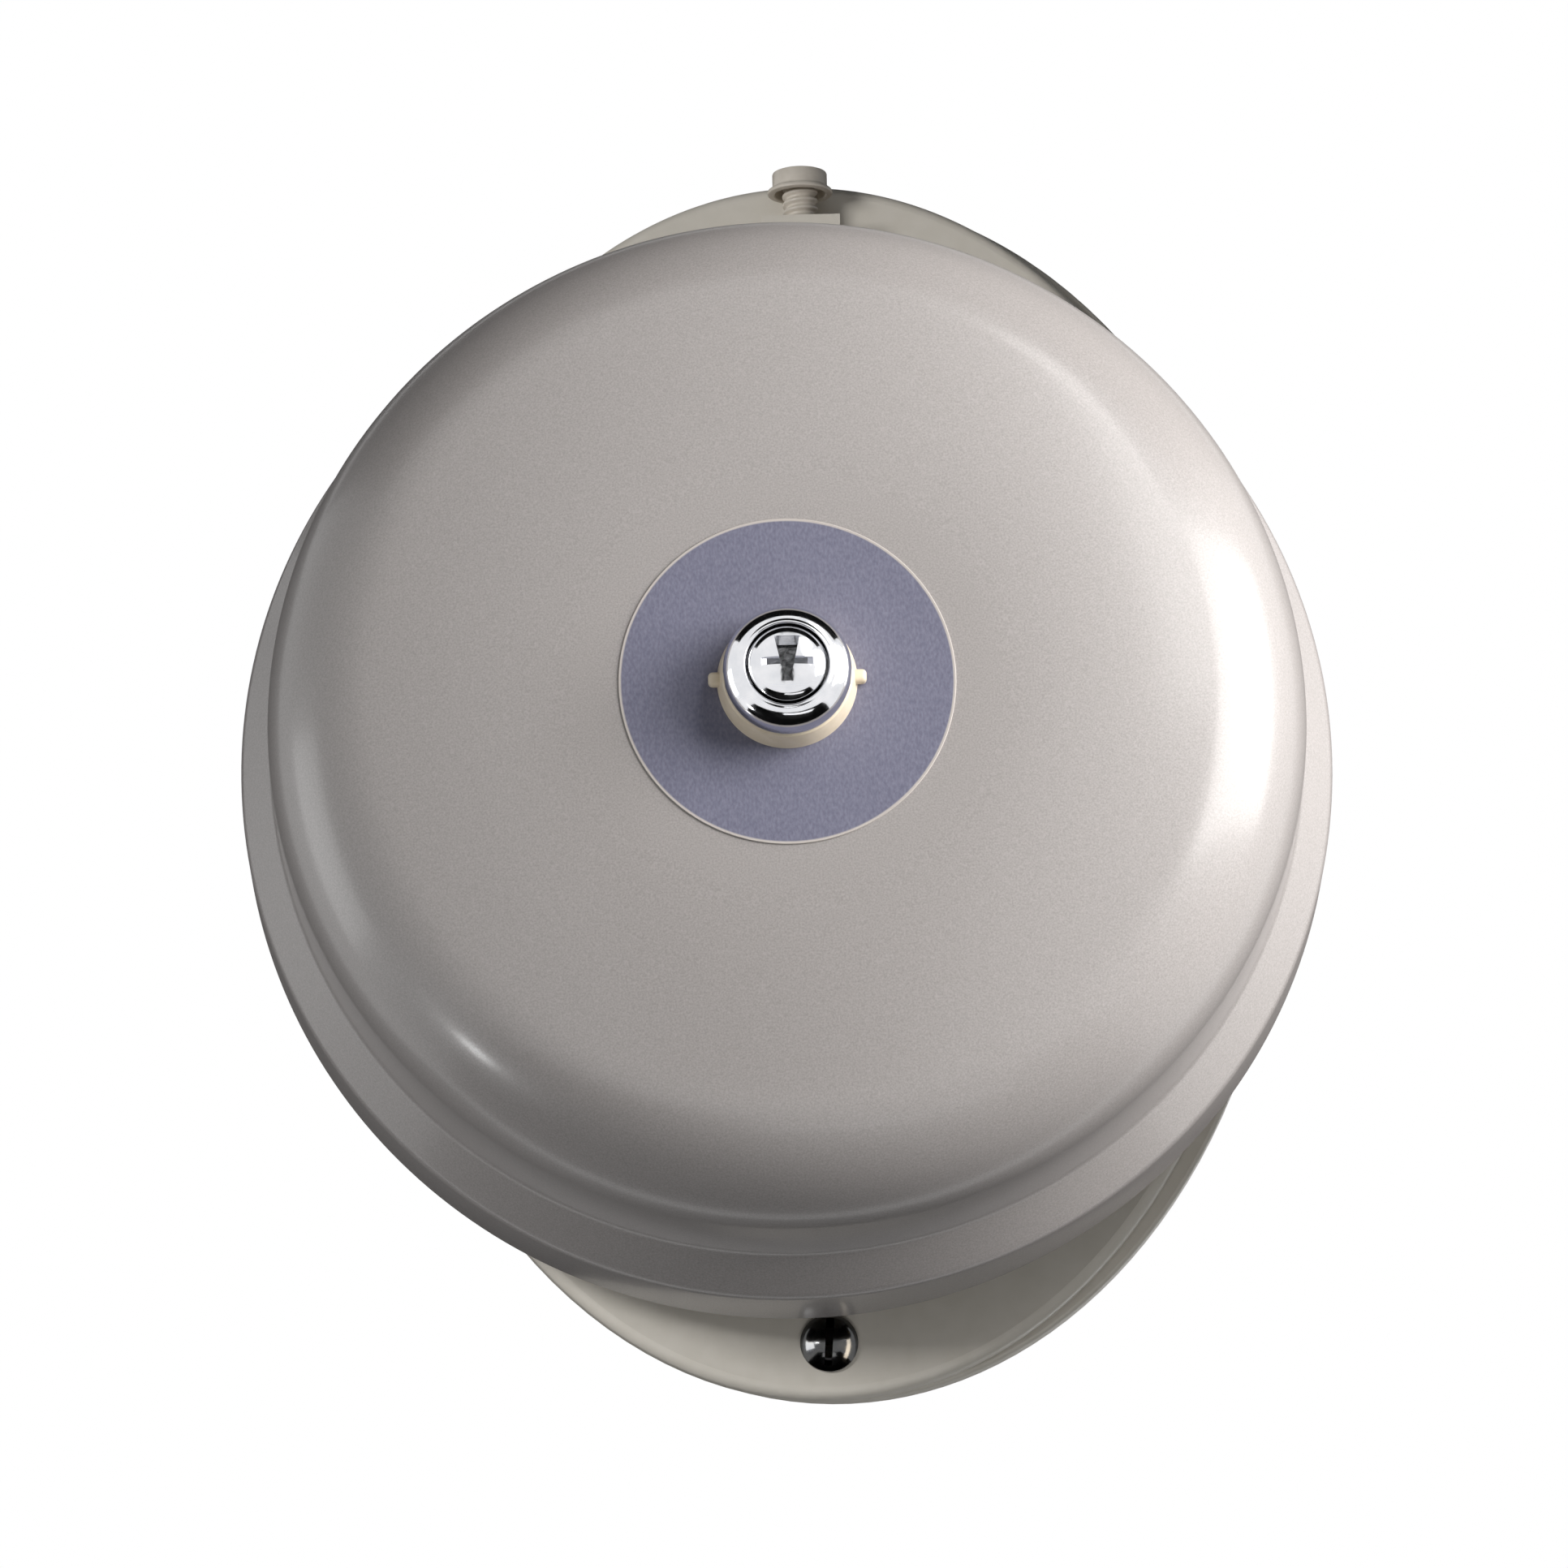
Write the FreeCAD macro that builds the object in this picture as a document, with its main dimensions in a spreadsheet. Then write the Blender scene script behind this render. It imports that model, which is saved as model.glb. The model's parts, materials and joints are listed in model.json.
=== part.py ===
"""Wall bell with its mechanism under the gong, as a parametric FreeCAD document.

Frame: origin on the wall, midway between the two wall fixings; +X to the right
of someone who faces the bell, +Z up, and +Y into the wall.  "Depth" is the
distance out from the wall, so a point at depth d has y = -d.
"""
import FreeCAD, Part
import math
import os

import Sketcher

os.makedirs("parts", exist_ok=True)
doc = FreeCAD.newDocument("UnderdomeBell")
Vector = FreeCAD.Vector

# ---------------------------------------------------------------- driving sizes
# millimetres and degrees; one spreadsheet cell for each
SIZES = {
    # gong: a pressed steel dish with a stepped skirt
    "GongRadius": 75.0,
    "GongHeight": 56.0,
    "GongWall": 1.6,
    "SkirtHeight": 15.0,
    "SkirtBend": 4.0,
    "StepAngle": 68.0,
    "LedgeBend": 1.5,
    "StepWidth": 4.6,
    "ShoulderBend": 13.0,
    "CrownRadius": 150.0,
    "SeatRadius": 24.0,
    "GongBore": 4.3,
    "RimRound": 0.5,
    "RimGap": 9.0,
    "GongOffsetX": -4.0,
    "GongOffsetZ": -3.5,
    # tray on the wall
    "TraySideInset": 5.8,
    "TrayEndInset": 2.7,
    "TrayTaper": 3.0,
    "TrayDepth": 17.0,
    "TrayWall": 2.2,
    "TrayFloor": 2.4,
    "LipSideReach": 1.4,
    "LipEndInset": 0.3,
    "LipShift": 1.7,
    "LipThickness": 2.6,
    "SeamGap": 0.6,
    "FixingSpacing": 112.0,
    "FixingHoleRadius": 2.5,
    "FixingBossRadius": 6.0,
    "FixingBossHeight": 1.5,
    "EntryRadius": 6.0,
    "EntryHeight": 22.0,
    "GrommetFlange": 2.0,
    "GrommetLip": 1.0,
    "GrommetWall": 1.6,
    "ScrewBossRadius": 4.2,
    "ScrewBossLength": 11.0,
    # cover and the turret that houses the mechanism
    "CoverHalfHeight": 87.5,
    "CoverSideMargin": 14.8,
    "CoverPlate": 3.0,
    "CoverEdgeRound": 1.5,
    "CoverScrewInset": 7.5,
    "TurretRadius": 48.0,
    "TurretHeight": 26.0,
    "TurretWall": 2.5,
    "TurretRound": 3.0,
    "HammerSlotHeight": 20.0,
    "HammerSlotDepth": 12.0,
    "ChassisBossRadius": 3.6,
    "ChassisBossInset": 2.9,
    # cover screw
    "CoverScrewRadius": 2.0,
    "CoverHeadRadius": 4.05,
    "CoverHeadHeight": 2.6,
    "CoverHeadChamfer": 1.1,
    "SlotWidth": 1.1,
    "SlotDepth": 1.3,
    "InsertRadius": 2.8,
    "InsertLength": 7.0,
    "HookWidth": 10.0,
    "HookPlate": 1.8,
    "HookDepth": 7.0,
    "HookReach": 2.0,
    "HookClear": 0.7,
    # hammer adjuster above the gong
    "StemRadius": 2.5,
    "StemRoot": 2.05,
    "StemPitch": 1.25,
    "StemStandoff": 4.9,
    "CapRadius": 3.85,
    "CapHeight": 2.4,
    "CapFlangeRadius": 4.6,
    "CapFlangeHeight": 0.8,
    "CapDrop": 3.1,
    "StemBossWidth": 11.0,
    "StemBossHeight": 10.0,
    "StemBossInset": 7.0,
    "StemBossSkin": 0.8,
    "StemThreadOverrun": 2.0,
    "StemTipRadius": 1.5,
    # chassis and the centre fixing of the gong
    "ChassisSeat": 2.5,
    "ChassisPlate": 1.5,
    "ChassisScrewRadius": 1.45,
    "ChassisHeadRadius": 2.9,
    "ChassisHeadHeight": 1.8,
    "ChassisScrewLength": 10.0,
    "ChassisScrewStart": 50.0,
    "LeadHoleRadius": 4.0,
    "LeadHoleDrop": 27.0,
    "PillarRadius": 5.0,
    "PillarFootRadius": 8.0,
    "PillarFootHeight": 2.0,
    "PillarTenonRadius": 3.0,
    "PillarNutHeight": 3.0,
    "PillarNutAcross": 10.0,
    "PadThickness": 1.0,
    "PadRadius": 8.0,
    "LabelRadius": 22.6,
    "LabelThickness": 0.25,
    "BushRadius": 9.1,
    "BushHeight": 4.0,
    "NibLength": 1.5,
    "NibWidth": 1.9,
    "NibHeight": 1.8,
    "NibBase": 0.4,
    "CupRadius": 8.6,
    "CupTopRadius": 6.3,
    "CupSkirt": 0.6,
    "CupMouthRadius": 5.55,
    "CupHeight": 4.9,
    "CupFloor": 1.6,
    "CentreScrewRadius": 2.5,
    "CentreHeadRadius": 5.15,
    "CentreHeadHeight": 4.6,
    "CentreHeadDome": 1.3,
    "CentreScrewReach": 10.0,
    "CrossWidth": 1.5,
    "CrossLength": 5.4,
    "CrossDepth": 2.2,
    # magnet
    "CoreMargin": 1.2,
    "CoilSpacing": 1.1,
    "CoilClearance": 0.8,
    "ArmatureOverhang": 1.0,
    "FormerTube": 0.8,
    "FormerFlange": 1.0,
    "WindingInset": 0.6,
    "CoilLength": 22.0,
    "PoleReach": 1.4,
    "YokePlate": 2.5,
    "YokeMargin": 2.0,
    "YokeFoot": 8.0,
    "YokeFootPlate": 2.0,
    "RivetRadius": 1.5,
    "RivetHeadRadius": 2.4,
    "RivetHeadHeight": 0.8,
    # armature, hammer and contacts
    "PoleGap": 0.3,
    "ArmaturePlate": 2.4,
    "ArmatureWidth": 9.0,
    "HingeRadius": 1.25,
    "HingeEye": 2.2,
    "HingeInset": 7.0,
    "HingeGap": 0.6,
    "HingeEar": 1.3,
    "HingeEarMargin": 0.4,
    "PinDimpleRadius": 0.3,
    "PinDimpleDepth": 0.5,
    "HammerSwingAngle": 3.0,
    "BallRadius": 5.0,
    "BallHeight": 5.5,
    "StrikeGap": 0.3,
    "StrikeAngle": -40.0,
    "RodRadius": 1.0,
    "SocketRadius": 2.0,
    "SocketLength": 7.0,
    "SocketFloor": 3.0,
    "ContactLeaf": 0.4,
    "ContactLeafWidth": 5.0,
    "ContactLeafReach": 21.0,
    "ContactButtonRadius": 1.2,
    "ContactButtonHeight": 0.8,
    "LeafRivetRadius": 0.8,
    "LeafRivetHeadRadius": 1.5,
    "LeafRivetHeadHeight": 0.6,
    "ContactScrewRadius": 1.5,
    "ContactScrewRoom": 5.3,
    "ContactHeadRadius": 2.4,
    "ContactHeadHeight": 1.5,
    "ContactBlockWidth": 10.0,
    "ContactBlockHeight": 7.0,
    "ContactNutHeight": 1.8,
    "ContactNutAcross": 5.5,
    "StopPlate": 1.0,
    "StopMargin": 3.0,
    "StopFoot": 8.0,
    # wiring parts
    "CapacitorLength": 18.0,
    "CapacitorHeight": 12.0,
    "CapacitorThickness": 7.0,
    "CapacitorPlace": 18.0,
    "CapacitorRound": 1.0,
    "TerminalWidth": 32.0,
    "TerminalHeight": 14.0,
    "TerminalThickness": 9.0,
    "TerminalPitch": 10.0,
    "TerminalScrewRadius": 1.9,
    "TerminalScrewLength": 4.5,
    "TerminalBoreDepth": 5.4,
    "TerminalDrop": 30.0,
    # slots for a small screwdriver
    "DriverSlotWidth": 0.6,
    "DriverSlotDepth": 0.8,
    # fits
    "RunningFit": 0.05,
    "SlidingFit": 0.3,
}

sheet = doc.addObject("Spreadsheet::Sheet", "Sizes")
for row, (alias, amount) in enumerate(SIZES.items(), start=1):
    sheet.set(f"A{row}", alias)
    sheet.set(f"B{row}", str(amount))
    sheet.setAlias(f"B{row}", alias)
doc.recompute()


class Size:
    """A number that keeps the formula it came from, for setExpression."""

    def __init__(self, value, text):
        self.value = float(value)
        self.text = text

    def __add__(self, other):
        other = as_size(other)
        return Size(self.value + other.value, f"({self.text} + {other.text})")

    def __sub__(self, other):
        other = as_size(other)
        return Size(self.value - other.value, f"({self.text} - {other.text})")

    def __mul__(self, other):
        other = as_size(other)
        return Size(self.value * other.value, f"({self.text} * {other.text})")

    def __truediv__(self, other):
        other = as_size(other)
        return Size(self.value / other.value, f"({self.text} / {other.text})")

    def __radd__(self, other):
        return as_size(other) + self

    def __rsub__(self, other):
        return as_size(other) - self

    def __rmul__(self, other):
        return as_size(other) * self

    def __neg__(self):
        return Size(-self.value, f"(0 - {self.text})")


def as_size(amount):
    """Turn a plain number into a Size; leave a Size as it is."""
    return amount if isinstance(amount, Size) else Size(amount, repr(float(amount)))


def cell(alias):
    """The driving size that the spreadsheet holds under this alias."""
    return Size(sheet.get(alias), f"Sizes.{alias}")


def root(amount):
    return Size(math.sqrt(amount.value), f"sqrt({amount.text})")


def sine(angle):
    return Size(math.sin(math.radians(angle.value)), f"sin({angle.text} * 1deg)")


def cosine(angle):
    return Size(math.cos(math.radians(angle.value)), f"cos({angle.text} * 1deg)")


def arctangent(rise, run):
    """Angle in degrees, as a plain number."""
    angle = math.degrees(math.atan2(rise.value, run.value))
    return Size(angle, f"(atan2({rise.text}; {run.text}) / 1deg)")


S = {alias: cell(alias) for alias in SIZES}

# ------------------------------------------------------------- derived places
gong_x = S["GongOffsetX"]
gong_z = S["GongOffsetZ"]
chassis_back = S["TrayDepth"] - S["ChassisPlate"]
chassis_front = S["TrayDepth"]
cover_face = S["TrayDepth"] + S["CoverPlate"]
rim_depth = cover_face + S["RimGap"]
gong_face = rim_depth + S["GongHeight"]
gong_inside = gong_face - S["GongWall"]
turret_face = cover_face + S["TurretHeight"]
turret_inside = turret_face - S["TurretWall"]
turret_bore = S["TurretRadius"] - S["TurretWall"]
cover_half_width = S["TurretRadius"] + S["CoverSideMargin"]
cover_screw_z = S["CoverScrewInset"] - S["CoverHalfHeight"]
tray_half_width = cover_half_width - S["TraySideInset"]
tray_half_height = S["CoverHalfHeight"] - S["TrayEndInset"]
lip_half_width = cover_half_width + S["LipSideReach"]
lip_half_height = S["CoverHalfHeight"] - S["LipEndInset"]
chassis_radius = turret_bore + S["ChassisSeat"]
chassis_screw_circle = turret_bore - S["ChassisBossInset"]
dome_radius = S["GongRadius"] - S["StepWidth"]
lip_front = S["TrayDepth"] - S["SeamGap"]
lip_back = lip_front - S["LipThickness"]
ball_depth = rim_depth + S["BallHeight"]
stem_depth = cover_face + S["StemStandoff"]
pillar_top = gong_inside - S["PadThickness"]
bush_top = gong_face + S["BushHeight"]
cup_top = bush_top + S["CupHeight"]
cup_floor = bush_top + S["CupFloor"]
head_top = cup_floor + S["CentreHeadHeight"]

# magnet, seen from the front and measured from the gong's axis: the coils share the
# space between the pillar and the hinge, which stands close to the turret's wall
hinge_x = turret_bore - S["HingeInset"]
magnet_left = S["PillarRadius"] + S["CoilClearance"]
magnet_right = hinge_x - S["HingeEye"] - S["HingeGap"]
former_radius = (magnet_right - magnet_left - S["CoilSpacing"]) / 4
core_radius = (former_radius - S["CoreMargin"]) / 2
winding_radius = former_radius - S["WindingInset"]
near_coil_x = magnet_left + former_radius
far_coil_x = magnet_right - former_radius
coil_bottom = -S["CoilLength"] / 2
coil_top = S["CoilLength"] / 2
pole_height = coil_top + S["PoleReach"]
yoke_left = near_coil_x - former_radius
yoke_right = far_coil_x + former_radius + S["YokeMargin"]
yoke_front = ball_depth + former_radius
hinge_z = pole_height + S["PoleGap"] + S["ArmaturePlate"] / 2

# hammer, measured from the hinge pin with the armature pulled in
ball_circle = S["GongRadius"] - S["GongWall"] - S["BallRadius"] - S["StrikeGap"]
ball_x = ball_circle * cosine(S["StrikeAngle"]) - hinge_x
ball_z = ball_circle * sine(S["StrikeAngle"]) - hinge_z
rod_reach = root(ball_x * ball_x + ball_z * ball_z)
rod_lean = arctangent(ball_x, ball_z)


# -------------------------------------------------------------------- helpers
def bind(item, **properties):
    """Bind properties of an object to Sizes; Placement_Base_x means Placement.Base.x."""
    for name, amount in properties.items():
        item.setExpression(name.replace("_", "."), as_size(amount).text)
    return item


def new_body(label, x=0, z=0):
    body = doc.addObject("PartDesign::Body", label)
    body.Label = label
    return bind(body, Placement_Base_x=x, Placement_Base_z=z)


def new_sketch(body, role, offset=0, centre=(0, 0)):
    """A sketch parallel to one of the body's origin planes."""
    sketch = body.newObject("Sketcher::SketchObject", "Sketch")
    planes = {feature.Role: feature for feature in body.Origin.OriginFeatures}
    sketch.AttachmentSupport = [(planes[role], "")]
    sketch.MapMode = "FlatFace"
    return bind(
        sketch,
        AttachmentOffset_Base_x=centre[0],
        AttachmentOffset_Base_y=centre[1],
        AttachmentOffset_Base_z=offset,
    )


def constrain(sketch, kind, *references, size=None):
    """Add a constraint and bind its value to a Size."""
    if size is None:
        return sketch.addConstraint(Sketcher.Constraint(kind, *references))
    index = sketch.addConstraint(Sketcher.Constraint(kind, *references, size.value))
    sketch.setExpression(f"Constraints[{index}]", size.text)
    return index


def fix_point(sketch, geometry, position, x, z):
    constrain(sketch, "DistanceX", -1, 1, geometry, position, size=as_size(x))
    constrain(sketch, "DistanceY", -1, 1, geometry, position, size=as_size(z))


def add_circle(sketch, x, z, radius):
    x, z, radius = as_size(x), as_size(z), as_size(radius)
    centre = Vector(x.value, z.value, 0)
    index = sketch.addGeometry(Part.Circle(centre, Vector(0, 0, 1), radius.value), False)
    fix_point(sketch, index, 3, x, z)
    constrain(sketch, "Radius", index, size=radius)


def add_ellipse(sketch, x, half_width, half_height):
    """An upright ellipse whose centre lies at x on the level of the origin."""
    x = as_size(x)
    centre = Vector(x.value, 0, 0)
    top = centre + Vector(0, half_height.value, 0)
    side = centre + Vector(half_width.value, 0, 0)
    index = sketch.addGeometry(Part.Ellipse(top, side, centre), False)
    sketch.exposeInternalGeometry(index)
    fix_point(sketch, index, 3, x, 0)
    constrain(sketch, "Vertical", index + 1)
    constrain(sketch, "Distance", index + 1, size=half_height * 2)
    constrain(sketch, "Distance", index + 2, size=half_width * 2)


def add_outline(sketch, path):
    """Draw a closed outline.

    Each entry is the edge that arrives at a corner: (x, z) for a straight edge or
    (centre_x, centre_z, radius, x, z) for an arc of less than half a turn.
    """
    path = [tuple(as_size(part) for part in entry) for entry in path]
    for index, entry in enumerate(path):
        start = point_of(path[index - 1])
        end = point_of(entry)
        if len(entry) == 2:
            geometry = sketch.addGeometry(Part.LineSegment(start, end), False)
            ends = (1, 2)
        else:
            centre = Vector(entry[0].value, entry[1].value, 0)
            arms = (start - centre, end - centre)
            turns_left = arms[0].cross(arms[1]).z > 0
            first, last = arms if turns_left else reversed(arms)
            circle = Part.Circle(centre, Vector(0, 0, 1), entry[2].value)
            angles = (math.atan2(first.y, first.x), math.atan2(last.y, last.x))
            geometry = sketch.addGeometry(Part.ArcOfCircle(circle, *angles), False)
            constrain(sketch, "Radius", geometry, size=entry[2])
            ends = (1, 2) if turns_left else (2, 1)
        fix_point(sketch, geometry, ends[1], *entry[-2:])
        if index:
            constrain(sketch, "Coincident", geometry, ends[0], geometry - 1, last_end)
        else:
            first_end = ends[0]
        last_end = ends[1]
    constrain(sketch, "Coincident", 0, first_end, geometry, last_end)


def point_of(entry):
    return Vector(entry[-2].value, entry[-1].value, 0)


def rectangle(x_low, x_high, z_low, z_high):
    return [(x_low, z_low), (x_high, z_low), (x_high, z_high), (x_low, z_high)]


def add_feature(body, kind, sketch, **properties):
    """Add a feature and make sure that it changes the body's volume."""
    doc.recompute()
    before = body.Shape.Volume if body.Tip else 0.0
    feature = body.newObject("PartDesign::" + kind, kind)
    feature.Profile = sketch
    sketch.Visibility = False
    for name, amount in properties.items():
        if isinstance(amount, Size):
            feature.setExpression(name, amount.text)
        else:
            setattr(feature, name, amount)
    doc.recompute()
    if not feature.Shape.isValid() or len(feature.Shape.Solids) != 1:
        raise RuntimeError(f"{body.Label}: {feature.Name} leaves no single valid solid")
    if abs(body.Shape.Volume - before) < 1e-3:
        raise RuntimeError(f"{body.Label}: {feature.Name} changes nothing")
    return feature


def turned(body, path, role="XY_Plane"):
    """Revolve an outline about the sketch's upright axis."""
    sketch = new_sketch(body, role)
    add_outline(sketch, path)
    return add_feature(body, "Revolution", sketch, ReferenceAxis=(sketch, ["V_Axis"]), Angle=360.0)


def turned_forward(label, path, x=gong_x, z=gong_z):
    """A piece turned about an axis square to the wall, from (radius, depth) corners."""
    body = new_body(label, x, z)
    forward = []
    for entry in path:
        entry = [as_size(part) for part in entry]
        entry[-1] = -entry[-1]
        if len(entry) == 5:
            entry[1] = -entry[1]
        forward.append(tuple(entry))
    turned(body, forward)
    return body


def round_edges(body, radius, chosen):
    """Fillet the edges that chosen() picks from the finished shape."""
    doc.recompute()
    base = body.Tip
    names = [f"Edge{i}" for i, edge in enumerate(base.Shape.Edges, start=1) if chosen(edge)]
    fillet = body.newObject("PartDesign::Fillet", "Fillet")
    fillet.Base = (base, names)
    fillet.setExpression("Radius", radius.text)
    doc.recompute()
    if fillet.Shape.isNull() or not fillet.Shape.isValid() or len(fillet.Shape.Solids) != 1:
        raise RuntimeError(f"{body.Label}: the rounding of {len(names)} edge(s) fails")
    return fillet


def lies_at_depth(edge, depth, reach=0.0):
    """True for an edge in the plane at this depth that reaches further right than this."""
    box = edge.BoundBox
    flat = abs(box.YMin + depth.value) < 1e-4 and abs(box.YMax + depth.value) < 1e-4
    return flat and box.XMax > reach


def place(item, x, depth, z):
    return bind(item, Placement_Base_x=x, Placement_Base_y=-as_size(depth), Placement_Base_z=z)


def block(x, depth, z, width, thickness, height):
    """A block with its left, rear and lower sides at x, depth and z."""
    item = doc.addObject("Part::Box", "Block")
    bind(item, Length=width, Width=thickness, Height=height)
    return place(item, x, as_size(depth) + thickness, z)


def rod(radius, length, x, depth, z, along="depth"):
    """A cylinder that starts at a point and runs forward, up or to the right."""
    item = doc.addObject("Part::Cylinder", "Rod")
    bind(item, Radius=radius, Height=length)
    item.Placement = FreeCAD.Placement(Vector(), DIRECTIONS[along])
    return place(item, x, depth, z)


def hexagon(across, height, x, depth, z, along="depth"):
    item = doc.addObject("Part::Prism", "Hexagon")
    item.Polygon = 6
    bind(item, Circumradius=as_size(across) / math.sqrt(3), Height=height)
    item.Placement = FreeCAD.Placement(Vector(), DIRECTIONS[along])
    return place(item, x, depth, z)


DIRECTIONS = {
    "depth": FreeCAD.Rotation(Vector(1, 0, 0), 90),
    "up": FreeCAD.Rotation(),
    "right": FreeCAD.Rotation(Vector(0, 1, 0), 90),
}


def fused(label, *pieces):
    item = doc.addObject("Part::MultiFuse", label)
    item.Shapes = list(pieces)
    item.Refine = True
    item.Label = label
    return item


def grouped(label, *pieces):
    """Several separate solids in one node."""
    item = doc.addObject("Part::Compound", label)
    item.Links = list(pieces)
    item.Label = label
    return item


def drilled(label, base, *tools):
    item = doc.addObject("Part::Cut", label)
    item.Base = base
    item.Tool = tools[0] if len(tools) == 1 else fused(label + "_tools", *tools)
    item.Label = label
    return item


# -------------------------------------------------------- tray against the wall
def tray_inset(depth):
    """How far the tapered wall stands in from its front outline at a depth."""
    return S["TrayTaper"] * (1 - as_size(depth) / S["TrayDepth"])


def make_rear_tray():
    body = new_body("rear_tray")
    outer = []
    inner = []
    for depth in (as_size(0), S["TrayDepth"]):
        sketch = new_sketch(body, "XZ_Plane", offset=depth)
        inset = tray_inset(depth)
        add_ellipse(sketch, 0, tray_half_width - inset, tray_half_height - inset)
        outer.append(sketch)
    add_feature(body, "AdditiveLoft", outer[0], Sections=[(outer[1], [""])])

    lip = new_sketch(body, "XZ_Plane", offset=lip_back)
    add_ellipse(lip, S["LipShift"], lip_half_width, lip_half_height)
    add_feature(body, "Pad", lip, Length=S["LipThickness"])

    for depth in (S["TrayFloor"], S["TrayDepth"]):
        sketch = new_sketch(body, "XZ_Plane", offset=depth)
        inset = tray_inset(depth) + S["TrayWall"]
        add_ellipse(sketch, 0, tray_half_width - inset, tray_half_height - inset)
        inner.append(sketch)
    add_feature(body, "SubtractiveLoft", inner[0], Sections=[(inner[1], [""])])

    boss = new_sketch(body, "XZ_Plane", offset=S["TrayDepth"] - S["ScrewBossLength"])
    add_circle(boss, 0, cover_screw_z, S["ScrewBossRadius"])
    add_feature(body, "Pad", boss, Length=S["ScrewBossLength"])
    bore = new_sketch(body, "XZ_Plane", offset=S["TrayDepth"])
    add_circle(bore, 0, cover_screw_z, S["InsertRadius"])
    add_feature(body, "Pocket", bore, Length=S["InsertLength"])

    pads = new_sketch(body, "XZ_Plane", offset=S["TrayFloor"])
    holes = new_sketch(body, "XZ_Plane")
    for side in (1, -1):
        height = S["FixingSpacing"] * side / 2
        add_circle(pads, 0, height, S["FixingBossRadius"])
        add_circle(holes, 0, height, S["FixingHoleRadius"])
    add_feature(body, "Pad", pads, Length=S["FixingBossHeight"])
    through = S["TrayFloor"] + S["FixingBossHeight"]
    add_feature(body, "Pocket", holes, Length=through, Reversed=True)

    entry = new_sketch(body, "XZ_Plane")
    add_circle(entry, 0, S["EntryHeight"], S["EntryRadius"])
    add_feature(body, "Pocket", entry, Length=S["TrayFloor"], Reversed=True)

    slot = new_sketch(body, "XY_Plane", offset=hook_foot)
    half = S["HookWidth"] / 2 + S["SlidingFit"]
    near = hook_back - S["SlidingFit"]
    far = hook_back + S["HookPlate"] + S["SlidingFit"]
    add_outline(slot, rectangle(-half, half, -far, -near))
    add_feature(body, "Pocket", slot, Length=S["TrayWall"] * 4, Reversed=True)
    lip_reach = lip_half_width.value
    round_edges(body, S["SeamGap"], lambda edge: lies_at_depth(edge, lip_front, lip_reach))
    return body


# hook behind the top of the cover, which catches in a slot of the tray
hook_back = S["TrayDepth"] - S["HookDepth"] - S["HookPlate"]
tray_inner_top = tray_half_height - tray_inset(hook_back) - S["TrayWall"]
hook_foot = tray_inner_top - S["HookClear"] - S["HookPlate"]


def make_cable_grommet():
    bore = S["EntryRadius"] - S["GrommetWall"]
    sleeve = S["EntryRadius"] - S["RunningFit"]
    flange = S["EntryRadius"] + S["GrommetFlange"]
    front = S["TrayFloor"] + S["GrommetLip"]
    path = [
        (bore, S["SlidingFit"]),
        (sleeve, S["SlidingFit"]),
        (sleeve, S["TrayFloor"]),
        (flange, S["TrayFloor"]),
        (flange, front),
        (bore, front),
    ]
    return turned_forward("cable_grommet", path, x=0, z=S["EntryHeight"])


# ---------------------------------------------------------------- front cover
def make_front_cover():
    body = new_body("front_cover")
    centre = (gong_x, gong_z)
    plate = new_sketch(body, "XZ_Plane", offset=S["TrayDepth"])
    add_ellipse(plate, 0, cover_half_width, S["CoverHalfHeight"])
    add_feature(body, "Pad", plate, Length=S["CoverPlate"])
    round_edges(body, S["CoverEdgeRound"], lambda edge: lies_at_depth(edge, cover_face))

    turret = new_sketch(body, "XZ_Plane", offset=cover_face, centre=centre)
    add_circle(turret, 0, 0, S["TurretRadius"])
    add_feature(body, "Pad", turret, Length=S["TurretHeight"])
    round_edges(body, S["TurretRound"], lambda edge: lies_at_depth(edge, turret_face))

    hollow = new_sketch(body, "XZ_Plane", offset=S["TrayDepth"], centre=centre)
    add_circle(hollow, 0, 0, turret_bore)
    inside = turret_inside - S["TrayDepth"]
    add_feature(body, "Pocket", hollow, Length=inside, Reversed=True)

    add_chassis_bosses(body, centre, inside)
    add_hammer_slot(body, centre)
    add_stem_guide(body)
    add_cover_hook(body)

    neck = new_sketch(body, "XZ_Plane", offset=turret_inside, centre=centre)
    add_circle(neck, 0, 0, S["PillarRadius"] + S["SlidingFit"])
    add_feature(body, "Pocket", neck, Length=S["TurretWall"], Reversed=True)

    screw_hole = new_sketch(body, "XZ_Plane", offset=S["TrayDepth"])
    add_circle(screw_hole, 0, cover_screw_z, S["CoverScrewRadius"] + S["SlidingFit"])
    add_feature(body, "Pocket", screw_hole, Length=S["CoverPlate"], Reversed=True)
    return body


def add_chassis_bosses(body, centre, length):
    """Four bosses inside the turret that take the chassis screws."""
    bosses = new_sketch(body, "XZ_Plane", offset=S["TrayDepth"], centre=centre)
    holes = new_sketch(body, "XZ_Plane", offset=S["TrayDepth"], centre=centre)
    for x, z in chassis_screw_places():
        add_circle(bosses, x, z, S["ChassisBossRadius"])
        add_circle(holes, x, z, S["ChassisScrewRadius"] + S["RunningFit"])
    add_feature(body, "Pad", bosses, Length=length)
    add_feature(body, "Pocket", holes, Length=S["ChassisScrewLength"], Reversed=True)


def chassis_screw_places():
    """Screw places about the gong's axis, a quarter turn apart."""
    places = []
    for quarter in range(4):
        angle = S["ChassisScrewStart"] + 90 * quarter
        places.append((chassis_screw_circle * cosine(angle), chassis_screw_circle * sine(angle)))
    return places


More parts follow.
